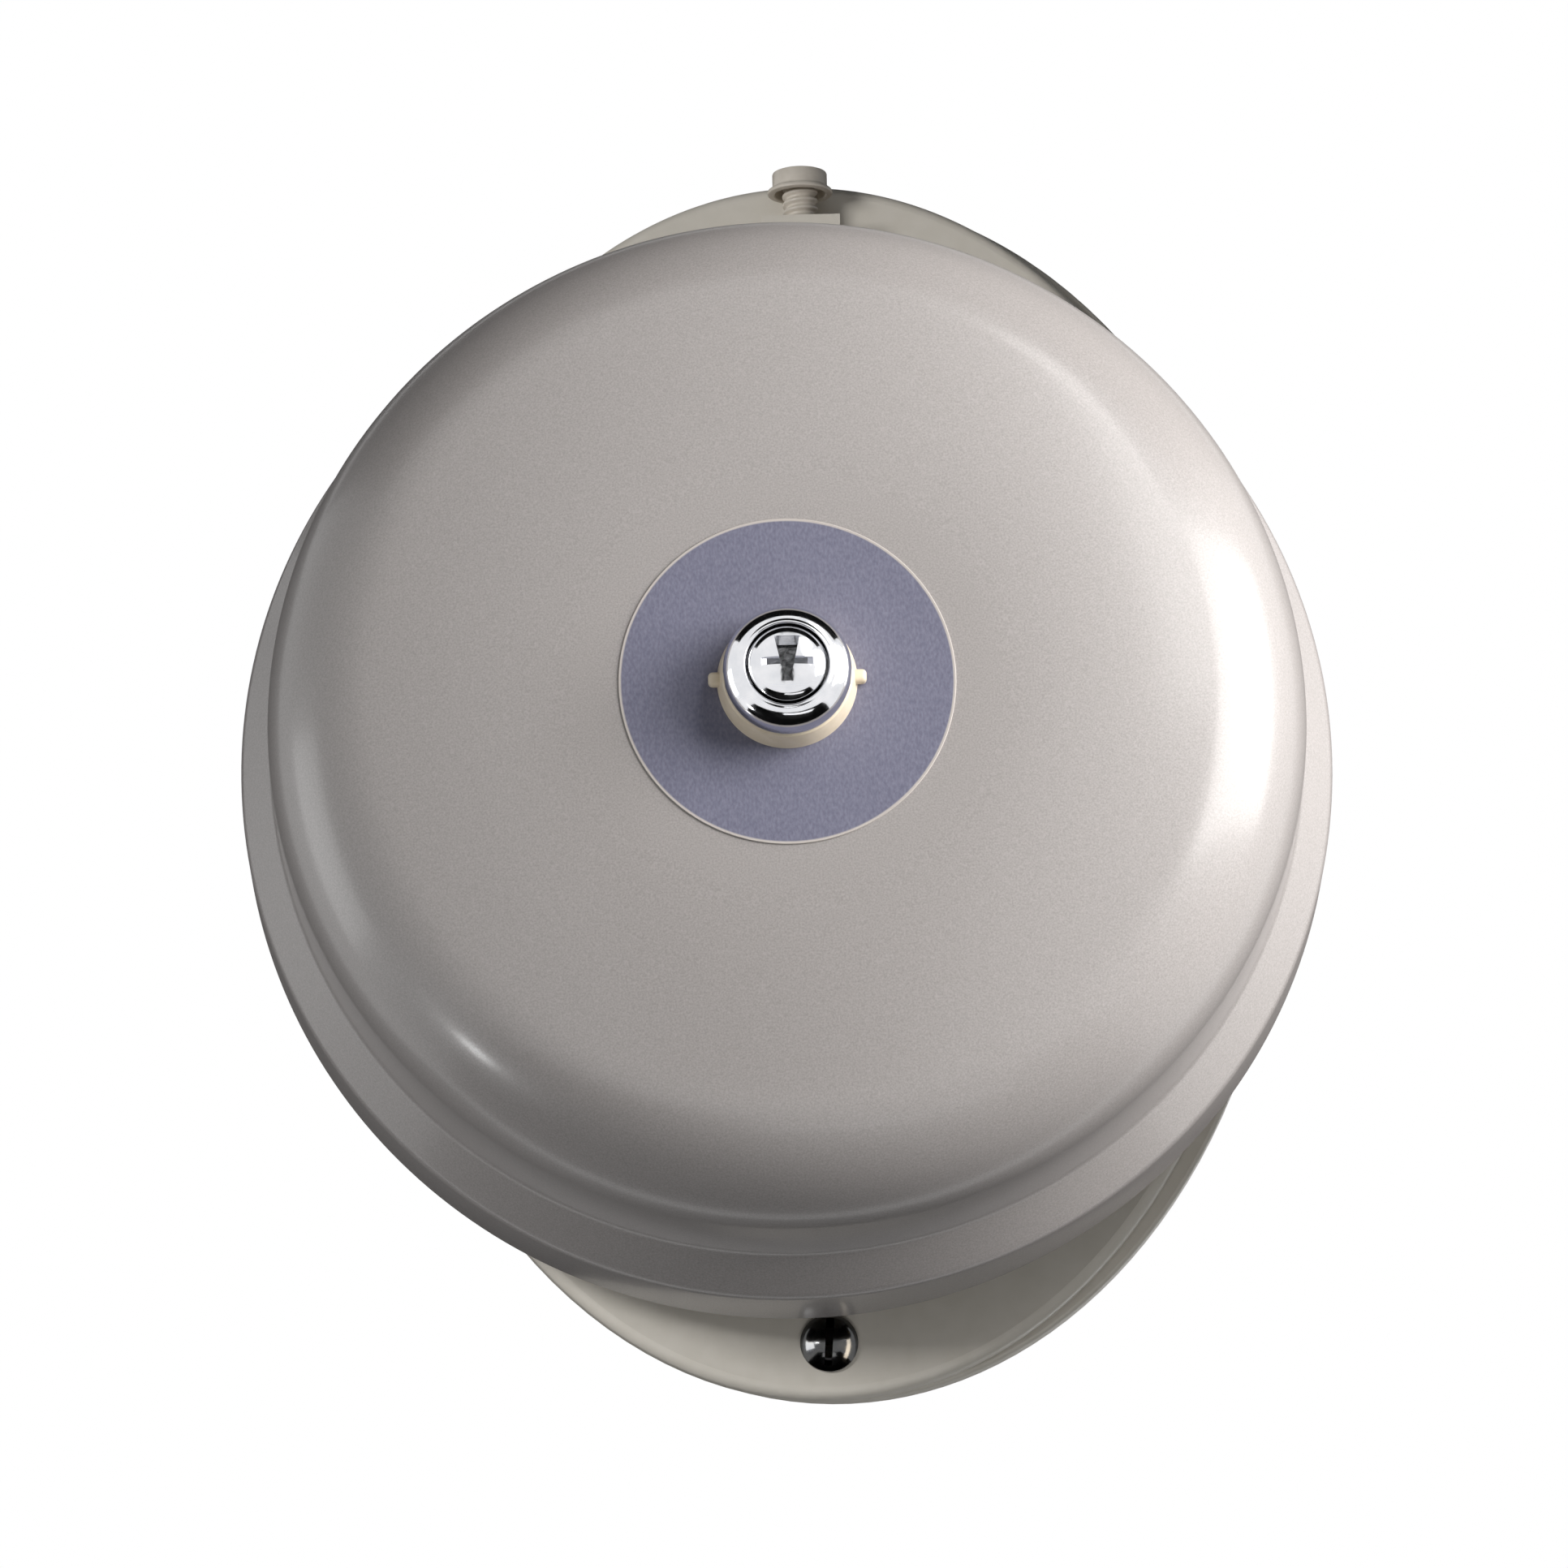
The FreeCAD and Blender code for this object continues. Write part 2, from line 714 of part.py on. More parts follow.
def add_hammer_slot(body, centre):
    """Window in the turret's wall where the hammer rod comes out."""
    low = rod_exit_z - S["HammerSlotHeight"] / 2
    high = rod_exit_z + S["HammerSlotHeight"] / 2
    slot = new_sketch(body, "XZ_Plane", offset=ball_depth - S["HammerSlotDepth"] / 2, centre=centre)
    inner = rod_exit_x - S["TurretWall"] * 3
    outer = rod_exit_x + S["TurretWall"] * 3
    add_outline(slot, rectangle(inner, outer, low, high))
    add_feature(body, "Pocket", slot, Length=S["HammerSlotDepth"], Reversed=True)


# where the hammer rod crosses the turret's wall
hinge_square = hinge_x * hinge_x + hinge_z * hinge_z
hinge_along = (hinge_x * ball_x + hinge_z * ball_z) / rod_reach
wall_circle = S["TurretRadius"] - S["TurretWall"] / 2
rod_exit = root(hinge_along * hinge_along + wall_circle * wall_circle - hinge_square) - hinge_along
rod_exit_x = hinge_x + ball_x * rod_exit / rod_reach
rod_exit_z = hinge_z + ball_z * rod_exit / rod_reach


def add_stem_guide(body):
    """Block on the cover's face that the adjuster stem screws through."""
    half = S["StemBossWidth"] / 2
    guide = new_sketch(body, "XZ_Plane", offset=cover_face)
    add_outline(guide, rectangle(-half, half, stem_guide_foot, stem_guide_top))
    front = stem_depth + S["StemRadius"] + S["StemBossSkin"]
    add_feature(body, "Pad", guide, Length=front - cover_face)
    bore = new_sketch(body, "XY_Plane", offset=stem_guide_top)
    add_circle(bore, 0, -stem_depth, S["StemRadius"] + S["RunningFit"])
    add_feature(body, "Pocket", bore, Length=S["StemBossHeight"])
    turret_top = gong_z + S["TurretRadius"]
    port = new_sketch(body, "XY_Plane", offset=turret_top)
    add_circle(port, 0, -stem_depth, S["StemTipRadius"] + S["SlidingFit"])
    add_feature(body, "Pocket", port, Length=S["TurretWall"] * 2)


stem_guide_top = S["CoverHalfHeight"] - S["StemBossInset"]
stem_guide_foot = stem_guide_top - S["StemBossHeight"]


def add_cover_hook(body):
    half = S["HookWidth"] / 2
    shank = new_sketch(body, "XZ_Plane", offset=hook_back)
    add_outline(shank, rectangle(-half, half, hook_foot, hook_foot + S["HookPlate"]))
    add_feature(body, "Pad", shank, Length=S["HookDepth"] + S["HookPlate"])
    tongue = new_sketch(body, "XZ_Plane", offset=hook_back)
    tip = tray_inner_top + S["HookReach"]
    add_outline(tongue, rectangle(-half, half, hook_foot, tip))
    add_feature(body, "Pad", tongue, Length=S["HookPlate"])


def make_cover_screw():
    """Slotted cheese-head screw at the foot of the cover."""
    tip = S["TrayDepth"] - S["InsertLength"] + S["SlidingFit"]
    crown = cover_face + S["CoverHeadHeight"]
    shoulder = crown - S["CoverHeadChamfer"]
    flat = S["CoverHeadRadius"] - S["CoverHeadChamfer"]
    path = [
        (0, tip),
        (S["CoverScrewRadius"], tip),
        (S["CoverScrewRadius"], cover_face),
        (S["CoverHeadRadius"], cover_face),
        (S["CoverHeadRadius"], shoulder),
        (flat, crown),
        (0, crown),
    ]
    body = turned_forward("cover_screw", path, x=0, z=cover_screw_z)
    slot = new_sketch(body, "XZ_Plane", offset=crown)
    half = S["SlotWidth"] / 2
    reach = S["CoverHeadRadius"] * 2
    add_outline(slot, rectangle(-half, half, -reach, reach))
    add_feature(body, "Pocket", slot, Length=S["SlotDepth"])
    return body


def make_cover_screw_insert():
    back = S["TrayDepth"] - S["InsertLength"]
    bore = S["CoverScrewRadius"] + S["RunningFit"]
    path = [
        (bore, back),
        (S["InsertRadius"], back),
        (S["InsertRadius"], S["TrayDepth"]),
        (bore, S["TrayDepth"]),
    ]
    return turned_forward("cover_screw_insert", path, x=0, z=cover_screw_z)


# ------------------------------------------------------ adjuster above the gong
cap_foot = S["CoverHalfHeight"] - S["CapDrop"]
cap_top = cap_foot + S["CapFlangeHeight"] + S["CapHeight"]
cap_recess = S["CapFlangeHeight"] * 1.5


def make_adjuster_cap():
    body = new_body("adjuster_cap")
    bind(body, Placement_Base_y=-stem_depth)
    shoulder = cap_foot + S["CapFlangeHeight"]
    mouth = S["CapRadius"] - S["StemBossSkin"] / 2
    path = [
        (S["StemRoot"], cap_top - S["StemBossSkin"]),
        (S["StemRoot"], cap_foot + cap_recess),
        (mouth, cap_foot + cap_recess),
        (mouth, cap_foot),
        (S["CapFlangeRadius"], cap_foot),
        (S["CapFlangeRadius"], shoulder),
        (S["CapRadius"], shoulder),
        (S["CapRadius"], cap_top),
        (0, cap_top),
        (0, cap_top - S["StemBossSkin"]),
    ]
    turned(body, path, role="XZ_Plane")
    return body


def make_adjuster_stem():
    """Plastic screw: ridged through its guide, then a slim tip into the turret."""
    body = new_body("adjuster_stem")
    bind(body, Placement_Base_y=-stem_depth)
    thread_top = cap_foot + cap_recess - S["SlidingFit"]
    thread_foot = stem_guide_foot - S["StemThreadOverrun"]
    ridges = int((thread_top.value - thread_foot.value) / S["StemPitch"].value)
    flank = S["StemPitch"] / 4
    path = [(0, cap_top - S["StemBossSkin"]), (S["StemRoot"], cap_top - S["StemBossSkin"])]
    for ridge in range(ridges):
        top = thread_top - S["StemPitch"] * ridge
        path.append((S["StemRoot"], top))
        path.append((S["StemRadius"], top - flank))
        path.append((S["StemRadius"], top - flank * 2))
        path.append((S["StemRoot"], top - flank * 3))
    path.append((S["StemRoot"], thread_foot - S["StemPitch"]))
    path.append((S["StemTipRadius"], thread_foot - S["StemPitch"] * 1.5))
    path.append((S["StemTipRadius"], stem_tip))
    path.append((0, stem_tip))
    turned(body, path, role="XZ_Plane")
    return body


# ---------------------------------------------------- gong and its centre fixing
def gong_path():
    """Half section of the dish: outside from rim to bore, then back inside."""
    wall = S["GongWall"]
    bend = S["StepAngle"]
    skirt_centre = S["GongRadius"] - S["SkirtBend"]
    bend_start = rim_depth + S["SkirtHeight"]
    step_in = S["GongRadius"] - dome_radius
    bends = S["SkirtBend"] + S["LedgeBend"]
    slope = (step_in - bends * (1 - cosine(bend))) / sine(bend)
    ledge_centre = dome_radius + S["LedgeBend"]
    ledge_depth = bend_start + bends * sine(bend) + slope * cosine(bend)
    shoulder_centre = dome_radius - S["ShoulderBend"]
    crown_gap = S["CrownRadius"] - S["ShoulderBend"]
    spread = shoulder_centre - S["SeatRadius"]
    crown_centre = gong_face - S["CrownRadius"]
    shoulder_depth = crown_centre + root(crown_gap * crown_gap - spread * spread)
    lean_x = spread / crown_gap
    lean_y = (shoulder_depth - crown_centre) / crown_gap

    def skirt_end(radius):
        return (skirt_centre + radius * cosine(bend), bend_start + radius * sine(bend))

    def ledge_start(radius):
        return (ledge_centre - radius * cosine(bend), ledge_depth - radius * sine(bend))

    def shoulder_end(radius):
        return (shoulder_centre + radius * lean_x, shoulder_depth + radius * lean_y)

    def side(offset, forward):
        """Corners of one face of the sheet, offset inward from the outside."""
        skirt = S["SkirtBend"] - offset
        ledge = S["LedgeBend"] + offset
        shoulder = S["ShoulderBend"] - offset
        crown = S["CrownRadius"] - offset
        outer = S["GongRadius"] - offset
        dome = dome_radius - offset
        face = gong_face - offset
        skirt_arc = (skirt_centre, bend_start, skirt)
        ledge_arc = (ledge_centre, ledge_depth, ledge)
        shoulder_arc = (shoulder_centre, shoulder_depth, shoulder)
        crown_arc = (S["SeatRadius"], crown_centre, crown)
        if forward:
            return [
                (outer, rim_depth),
                (outer, bend_start),
                skirt_arc + skirt_end(skirt),
                ledge_start(ledge),
                ledge_arc + (dome, ledge_depth),
                (dome, shoulder_depth),
                shoulder_arc + shoulder_end(shoulder),
                crown_arc + (S["SeatRadius"], face),
                (S["GongBore"], face),
            ]
        return [
            (S["GongBore"], face),
            (S["SeatRadius"], face),
            crown_arc + shoulder_end(shoulder),
            shoulder_arc + (dome, shoulder_depth),
            (dome, ledge_depth),
            ledge_arc + ledge_start(ledge),
            skirt_end(skirt),
            skirt_arc + (outer, bend_start),
            (outer, rim_depth),
        ]

    return side(as_size(0), True) + side(wall, False)


def make_gong():
    body = turned_forward("gong", gong_path())
    round_edges(body, S["RimRound"], lambda edge: lies_at_depth(edge, rim_depth))
    return body


def ring(label, inner, outer, back, front, x=gong_x, z=gong_z):
    path = [(inner, back), (outer, back), (outer, front), (inner, front)]
    return turned_forward(label, path, x=x, z=z)


def make_label_disc():
    clear = S["BushRadius"] + S["SlidingFit"]
    return ring("label_disc", clear, S["LabelRadius"], gong_face, gong_face + S["LabelThickness"])


def make_gong_pad():
    bore = S["CentreScrewRadius"] + S["SlidingFit"]
    return ring("gong_pad", bore, S["PadRadius"], pillar_top, gong_inside)


def make_gong_pillar():
    """Post from the chassis to the gong, riveted through the chassis by its tenon."""
    tapped = S["CentreScrewRadius"] + S["RunningFit"]
    foot = chassis_front + S["PillarFootHeight"]
    tenon_end = chassis_back - S["PillarNutHeight"] - S["SlidingFit"]
    bore_end = pillar_top - S["CentreScrewReach"] - S["PadThickness"]
    path = [
        (0, tenon_end),
        (S["PillarTenonRadius"], tenon_end),
        (S["PillarTenonRadius"], chassis_front),
        (S["PillarFootRadius"], chassis_front),
        (S["PillarFootRadius"], foot),
        (S["PillarRadius"], foot),
        (S["PillarRadius"], pillar_top),
        (tapped, pillar_top),
        (tapped, bore_end),
        (0, bore_end),
    ]
    return turned_forward("gong_pillar", path)


def make_pillar_nut():
    nut = hexagon(
        S["PillarNutAcross"], S["PillarNutHeight"], gong_x, chassis_back - S["PillarNutHeight"], gong_z
    )
    bore = rod(
        S["PillarTenonRadius"] + S["RunningFit"],
        S["PillarNutHeight"] * 2,
        gong_x,
        chassis_back - S["PillarNutHeight"] * 1.5,
        gong_z,
    )
    return drilled("pillar_nut", nut, bore)


def make_gong_bush():
    """Cream plastic bush that centres the gong, with a nib on each side."""
    bore = S["CentreScrewRadius"] + S["SlidingFit"]
    spigot = S["GongBore"] - S["RunningFit"]
    path = [
        (bore, gong_inside + S["SlidingFit"]),
        (spigot, gong_inside + S["SlidingFit"]),
        (spigot, gong_face),
        (S["BushRadius"], gong_face),
        (S["BushRadius"], bush_top),
        (bore, bush_top),
    ]
    body = turned_forward("gong_bush", path)
    add_nib(body, 1)
    add_nib(body, -1)
    return body


def add_nib(body, side):
    """Round-ended nib on the bush, to the right for side 1 and to the left for -1."""
    bend = S["NibWidth"] / 2
    half = bend * side
    near = (S["BushRadius"] - bend) * side
    far = (S["BushRadius"] + S["NibLength"] - bend) * side
    nib = new_sketch(body, "XZ_Plane", offset=gong_face + S["NibBase"])
    path = [
        (near, half),
        (near, -half),
        (far, -half),
        (far, 0, bend, far + half, 0),
        (far, 0, bend, far, half),
    ]
    add_outline(nib, path)
    add_feature(body, "Pad", nib, Length=S["NibHeight"])


def make_cup_washer():
    """Chromed cup: a flank that slopes in to the lip around the screw's head."""
    bore = S["CentreScrewRadius"] + S["SlidingFit"]
    path = [
        (bore, bush_top),
        (S["CupRadius"], bush_top),
        (S["CupRadius"], bush_top + S["CupSkirt"]),
        (S["CupTopRadius"], cup_top),
        (S["CupMouthRadius"], cup_top),
        (S["CupMouthRadius"], cup_floor),
        (bore, cup_floor),
    ]
    return turned_forward("cup_washer", path)


def make_centre_screw():
    """Domed screw with a crossed recess."""
    tip = pillar_top - S["CentreScrewReach"]
    rise = S["CentreHeadDome"]
    dome_bend = (S["CentreHeadRadius"] * S["CentreHeadRadius"] / rise + rise) / 2
    path = [
        (0, tip),
        (S["CentreScrewRadius"], tip),
        (S["CentreScrewRadius"], cup_floor),
        (S["CentreHeadRadius"], cup_floor),
        (S["CentreHeadRadius"], head_top - rise),
        (0, head_top - dome_bend, dome_bend, 0, head_top),
    ]
    body = turned_forward("centre_screw", path)
    for wide, tall in ((S["CrossLength"], S["CrossWidth"]), (S["CrossWidth"], S["CrossLength"])):
        arm = new_sketch(body, "XZ_Plane", offset=head_top)
        add_outline(arm, rectangle(-wide / 2, wide / 2, -tall / 2, tall / 2))
        add_feature(body, "Pocket", arm, Length=S["CrossDepth"])
    return body


# ------------------------------------------------------------ chassis and magnet
def make_chassis_plate():
    body = new_body("chassis_plate", gong_x, gong_z)
    disc = new_sketch(body, "XZ_Plane", offset=chassis_back)
    add_circle(disc, 0, 0, chassis_radius)
    add_circle(disc, 0, 0, S["PillarTenonRadius"] + S["RunningFit"])
    for x, z in chassis_screw_places():
        add_circle(disc, x, z, S["ChassisScrewRadius"] + S["SlidingFit"])
    add_circle(disc, -S["LeadHoleDrop"], -S["LeadHoleRadius"] * 3, S["LeadHoleRadius"])
    add_feature(body, "Pad", disc, Length=S["ChassisPlate"])
    return body


def make_chassis_screws():
    screws = []
    for x, z in chassis_screw_places():
        at_x, at_z = gong_x + x, gong_z + z
        head = rod(S["ChassisHeadRadius"], S["ChassisHeadHeight"], at_x,
                   chassis_back - S["ChassisHeadHeight"], at_z)
        shank = rod(S["ChassisScrewRadius"], S["ChassisScrewLength"], at_x, chassis_back, at_z)
        screws.append(fused("Screw", head, shank))
    return grouped("chassis_screws", *screws)


def make_magnet_yoke():
    length = yoke_right - yoke_left
    left = gong_x + yoke_left
    under = gong_z + coil_bottom - S["YokePlate"]
    upright = block(left, chassis_front, under, length, yoke_front - chassis_front, S["YokePlate"])
    foot_length = far_coil_x - yoke_left
    foot = block(left, chassis_front, under - S["YokeFoot"], foot_length, S["YokeFootPlate"],
                 S["YokeFoot"])
    holes = [
        rod(S["RivetRadius"] + S["RunningFit"], S["YokePlate"] * 3, gong_x + x, ball_depth,
            under - S["YokePlate"], along="up")
        for x in (near_coil_x, far_coil_x)
    ]
    return drilled("magnet_yoke", fused("Yoke", upright, foot), *holes)


def make_magnet_cores():
    cores = []
    seat = gong_z + coil_bottom
    for x in (near_coil_x, far_coil_x):
        at_x = gong_x + x
        stud = rod(core_radius, pole_height - coil_bottom, at_x, ball_depth, seat, along="up")
        tenon = rod(S["RivetRadius"], S["YokePlate"] + S["RivetHeadHeight"], at_x, ball_depth,
                    seat - S["YokePlate"] - S["RivetHeadHeight"], along="up")
        head = rod(S["RivetHeadRadius"], S["RivetHeadHeight"], at_x, ball_depth,
                   seat - S["YokePlate"] - S["RivetHeadHeight"], along="up")
        cores.append(fused("Core", stud, tenon, head))
    return grouped("magnet_cores", *cores)


def make_coil(side, x):
    """One flanged former and the winding on it."""
    former = new_body("coil_former_" + side, gong_x + x, gong_z)
    bind(former, Placement_Base_y=-ball_depth)
    bore = core_radius + S["RunningFit"]
    tube = bore + S["FormerTube"]
    foot = coil_bottom + S["SlidingFit"]
    path = [
        (bore, foot),
        (former_radius, foot),
        (former_radius, foot + S["FormerFlange"]),
        (tube, foot + S["FormerFlange"]),
        (tube, coil_top - S["FormerFlange"]),
        (former_radius, coil_top - S["FormerFlange"]),
        (former_radius, coil_top),
        (bore, coil_top),
    ]
    turned(former, path, role="XZ_Plane")
    winding = new_body("coil_winding_" + side, gong_x + x, gong_z)
    bind(winding, Placement_Base_y=-ball_depth)
    wire = [
        (tube, foot + S["FormerFlange"]),
        (winding_radius, foot + S["FormerFlange"]),
        (winding_radius, coil_top - S["FormerFlange"]),
        (tube, coil_top - S["FormerFlange"]),
    ]
    turned(winding, wire, role="XZ_Plane")
    return [former, winding]


# ------------------------------------------- armature, hammer and their contacts
armature_left = near_coil_x - core_radius - S["ArmatureOverhang"]
armature_reach = hinge_x - armature_left
armature_back = ball_depth - S["ArmatureWidth"] / 2
armature_front = ball_depth + S["ArmatureWidth"] / 2
leaf_rise = (S["ArmaturePlate"] / 2 + S["ContactLeaf"]) * cosine(S["HammerSwingAngle"])
stem_x = -gong_x
stop_left = stem_x - S["StopMargin"]
stop_z = hinge_z + (hinge_x - stop_left) * sine(S["HammerSwingAngle"]) + leaf_rise + S["SlidingFit"]
stem_tip = gong_z + stop_z + S["StopPlate"] + S["SlidingFit"]
contact_x = armature_left - S["ContactLeafReach"] + S["ContactButtonRadius"] * 2
rivet_x = -armature_reach / 2
contact_rise = leaf_rise + S["ContactButtonHeight"] + (hinge_x - contact_x) * sine(S["HammerSwingAngle"])
contact_screw_z = hinge_z + contact_rise + S["SlidingFit"]
block_foot = contact_screw_z + S["ContactBlockHeight"] / 2
contact_head_reach = contact_x - S["ContactHeadRadius"]
contact_roof = root(turret_bore * turret_bore - contact_head_reach * contact_head_reach)
contact_screw_top = contact_roof - S["ContactScrewRoom"]
contact_screw_length = contact_screw_top - S["ContactHeadHeight"] - contact_screw_z


def hang(item):
    """Put a moving piece, drawn about the hinge pin, at its rest position."""
    item.Placement = FreeCAD.Placement(Vector(), FreeCAD.Rotation(Vector(0, 1, 0), 1))
    item.setExpression("Placement.Rotation.Angle", S["HammerSwingAngle"].text)
    return bind(item, Placement_Base_x=gong_x + hinge_x, Placement_Base_z=gong_z + hinge_z)


def along_rod(radius, start, length):
    """A cylinder on the hammer rod's line, start away from the hinge pin."""
    item = doc.addObject("Part::Cylinder", "Rod")
    bind(item, Radius=radius, Height=length)
    item.Placement = FreeCAD.Placement(Vector(), FreeCAD.Rotation(Vector(0, 1, 0), 1))
    item.setExpression("Placement.Rotation.Angle", rod_lean.text)
    start = as_size(start)
    return place(item, ball_x / rod_reach * start, ball_depth, ball_z / rod_reach * start)


def make_armature():
    width = S["ArmatureWidth"]
    plate = block(-armature_reach, armature_back, -S["ArmaturePlate"] / 2, armature_reach, width,
                  S["ArmaturePlate"])
    eye = rod(S["HingeEye"], width, 0, armature_back, 0)
    socket = along_rod(S["SocketRadius"], 0, S["SocketLength"])
    pin_hole = rod(S["HingeRadius"] + S["RunningFit"], width * 2, 0, armature_back - width / 2, 0)
    rod_hole = along_rod(S["RodRadius"], S["SocketFloor"], S["SocketLength"])
    rivet_hole = rod(S["LeafRivetRadius"] + S["RunningFit"], S["ArmaturePlate"] * 2, rivet_x, ball_depth,
                     -S["ArmaturePlate"], along="up")
    arm = fused("Arm", plate, eye, socket)
    return hang(drilled("armature", arm, pin_hole, rod_hole, rivet_hole))


def make_hammer_rod():
    shank = along_rod(S["RodRadius"], S["SocketFloor"], rod_reach - S["SocketFloor"])
    return hang(grouped("hammer_rod", shank))


def make_hammer_ball():
    ball = doc.addObject("Part::Sphere", "Ball")
    bind(ball, Radius=S["BallRadius"])
    place(ball, ball_x, ball_depth, ball_z)
    hole = along_rod(S["RodRadius"], rod_reach - S["BallRadius"] * 2, S["BallRadius"] * 2)
    return hang(drilled("hammer_ball", ball, hole))


def make_contact_leaf():
    top = S["ArmaturePlate"] / 2
    left = -armature_reach - S["ContactLeafReach"]
    back = ball_depth - S["ContactLeafWidth"] / 2
    length = S["ContactLeafReach"] + armature_reach - S["HingeEye"] * 1.5
    leaf = block(left, back, top, length, S["ContactLeafWidth"], S["ContactLeaf"])
    hole = rod(S["LeafRivetRadius"] + S["RunningFit"], S["ContactLeaf"] * 3, rivet_x, ball_depth,
               top - S["ContactLeaf"], along="up")
    return hang(drilled("contact_leaf", leaf, hole))


def make_contact_point():
    """Silver point at the free end of the leaf."""
    top = S["ArmaturePlate"] / 2 + S["ContactLeaf"]
    point = rod(S["ContactButtonRadius"], S["ContactButtonHeight"], contact_x - hinge_x, ball_depth,
                top, along="up")
    return hang(grouped("contact_point", point))


def make_leaf_rivet():
    """Rivet that holds the leaf to the armature, flush below."""
    foot = -S["ArmaturePlate"] / 2
    through = S["ArmaturePlate"] + S["ContactLeaf"]
    shank = rod(S["LeafRivetRadius"], through, rivet_x, ball_depth, foot, along="up")
    head = rod(S["LeafRivetHeadRadius"], S["LeafRivetHeadHeight"], rivet_x, ball_depth,
               foot + through, along="up")
    return hang(fused("leaf_rivet", shank, head))


def make_hinge_bracket():
    """Post and front ear that hold both ends of the hinge pin."""
    at_x, at_z = gong_x + hinge_x, gong_z + hinge_z
    half = S["HingeEye"] + S["HingeEarMargin"] / 2
    web = S["HingeEye"] + S["HingeEarMargin"]
    ear = S["HingeEar"]
    post_front = armature_back - S["SlidingFit"]
    ear_back = armature_front + S["SlidingFit"]
    left = at_x - half
    foot = at_z - half
    height = half + web + ear
    bridge_length = ear_back + ear - chassis_front
    post = block(left, chassis_front, foot, half * 2, post_front - chassis_front, height)
    bridge = block(left, chassis_front, at_z + web, half * 2, bridge_length, ear)
    front = block(left, ear_back, foot, half * 2, ear, height)
    hole = rod(S["HingeRadius"], S["ArmatureWidth"] * 3, at_x, pin_back, at_z)
    return drilled("hinge_bracket", fused("Bracket", post, bridge, front), hole)


pin_back = armature_back - S["HingeEar"] * 3
pin_front = armature_front + S["HingeEar"] * 2


def make_hinge_pin():
    at_x, at_z = gong_x + hinge_x, gong_z + hinge_z
    pin = rod(S["HingeRadius"], pin_front - pin_back, at_x, pin_back, at_z)
    floor = pin_front - S["PinDimpleDepth"]
    dimple = rod(S["PinDimpleRadius"], S["PinDimpleDepth"] * 2, at_x, floor, at_z)
    return drilled("hinge_pin", pin, dimple)


def make_stop_bracket():
    """Plate over the armature that sets how far it springs back."""
    left = gong_x + stop_left
    right = gong_x + near_coil_x + core_radius
    at_z = gong_z + stop_z
    width = right - left
    blade = block(left, chassis_front, at_z, width, armature_front - chassis_front, S["StopPlate"])
    foot = block(left, chassis_front, at_z, width, S["StopPlate"], S["StopFoot"])
    return fused("stop_bracket", blade, foot)


def make_contact_block():
    """Insulating pillar that carries the contact screw."""
    at_x = gong_x + contact_x
    width = S["ContactBlockWidth"]
    thickness = ball_depth + S["ContactNutAcross"] / 2 - chassis_front
    foot = gong_z + block_foot
    left = at_x - width / 2
    body = block(left, chassis_front, foot, width, thickness, S["ContactBlockHeight"])
    hole = rod(S["ContactScrewRadius"] + S["RunningFit"], S["ContactBlockHeight"] * 2, at_x, ball_depth,
               foot - S["ContactBlockHeight"] / 2, along="up")
    return drilled("contact_block", body, hole)


def make_contact_screw():
    at_x, at_z = gong_x + contact_x, gong_z + contact_screw_z
    shank = rod(S["ContactScrewRadius"], contact_screw_length, at_x, ball_depth, at_z, along="up")
    head_foot = at_z + contact_screw_length
    head = rod(S["ContactHeadRadius"], S["ContactHeadHeight"], at_x, ball_depth, head_foot, along="up")
    slot_foot = head_foot + S["ContactHeadHeight"] - S["DriverSlotDepth"]
    slot = block(at_x - S["ContactHeadRadius"] * 2, ball_depth - S["DriverSlotWidth"] / 2, slot_foot,
                 S["ContactHeadRadius"] * 4, S["DriverSlotWidth"], S["ContactHeadHeight"])
    return drilled("contact_screw", fused("Shank", shank, head), slot)


def make_contact_locknut():
    at_x, at_z = gong_x + contact_x, gong_z + block_foot + S["ContactBlockHeight"]
    nut = hexagon(S["ContactNutAcross"], S["ContactNutHeight"], at_x, ball_depth, at_z, along="up")
    hole = rod(S["ContactScrewRadius"] + S["RunningFit"], S["ContactNutHeight"] * 3, at_x, ball_depth,
               at_z - S["ContactNutHeight"], along="up")
    return drilled("contact_locknut", nut, hole)


# ---------------------------------------------------------------- wiring pieces
def make_capacitor():
    left = gong_x - S["CapacitorPlace"] - S["CapacitorLength"]
    body = block(left, chassis_front, gong_z - S["CapacitorHeight"] / 2, S["CapacitorLength"],
                 S["CapacitorThickness"], S["CapacitorHeight"])
    rounded = doc.addObject("Part::Fillet", "capacitor")
    rounded.Base = body
    doc.recompute()
    bend = S["CapacitorRound"].value
    rounded.Edges = [(edge, bend, bend) for edge in range(1, len(body.Shape.Edges) + 1)]
    rounded.Label = "capacitor"
    return rounded


terminal_floor = S["TrayFloor"] + S["TerminalThickness"] - S["TerminalBoreDepth"]


def terminal_places():
    return [S["TerminalPitch"] * step for step in (-1, 0, 1)]


def make_terminal_block():
    foot = -S["TerminalDrop"] - S["TerminalHeight"] / 2
    body = block(-S["TerminalWidth"] / 2, S["TrayFloor"], foot, S["TerminalWidth"],
                 S["TerminalThickness"], S["TerminalHeight"])
    bore = S["TerminalScrewRadius"] + S["RunningFit"]
    holes = []
    for x in terminal_places():
        holes.append(rod(bore, S["TerminalThickness"], x, terminal_floor, -S["TerminalDrop"]))
    return drilled("terminal_block", body, *holes)


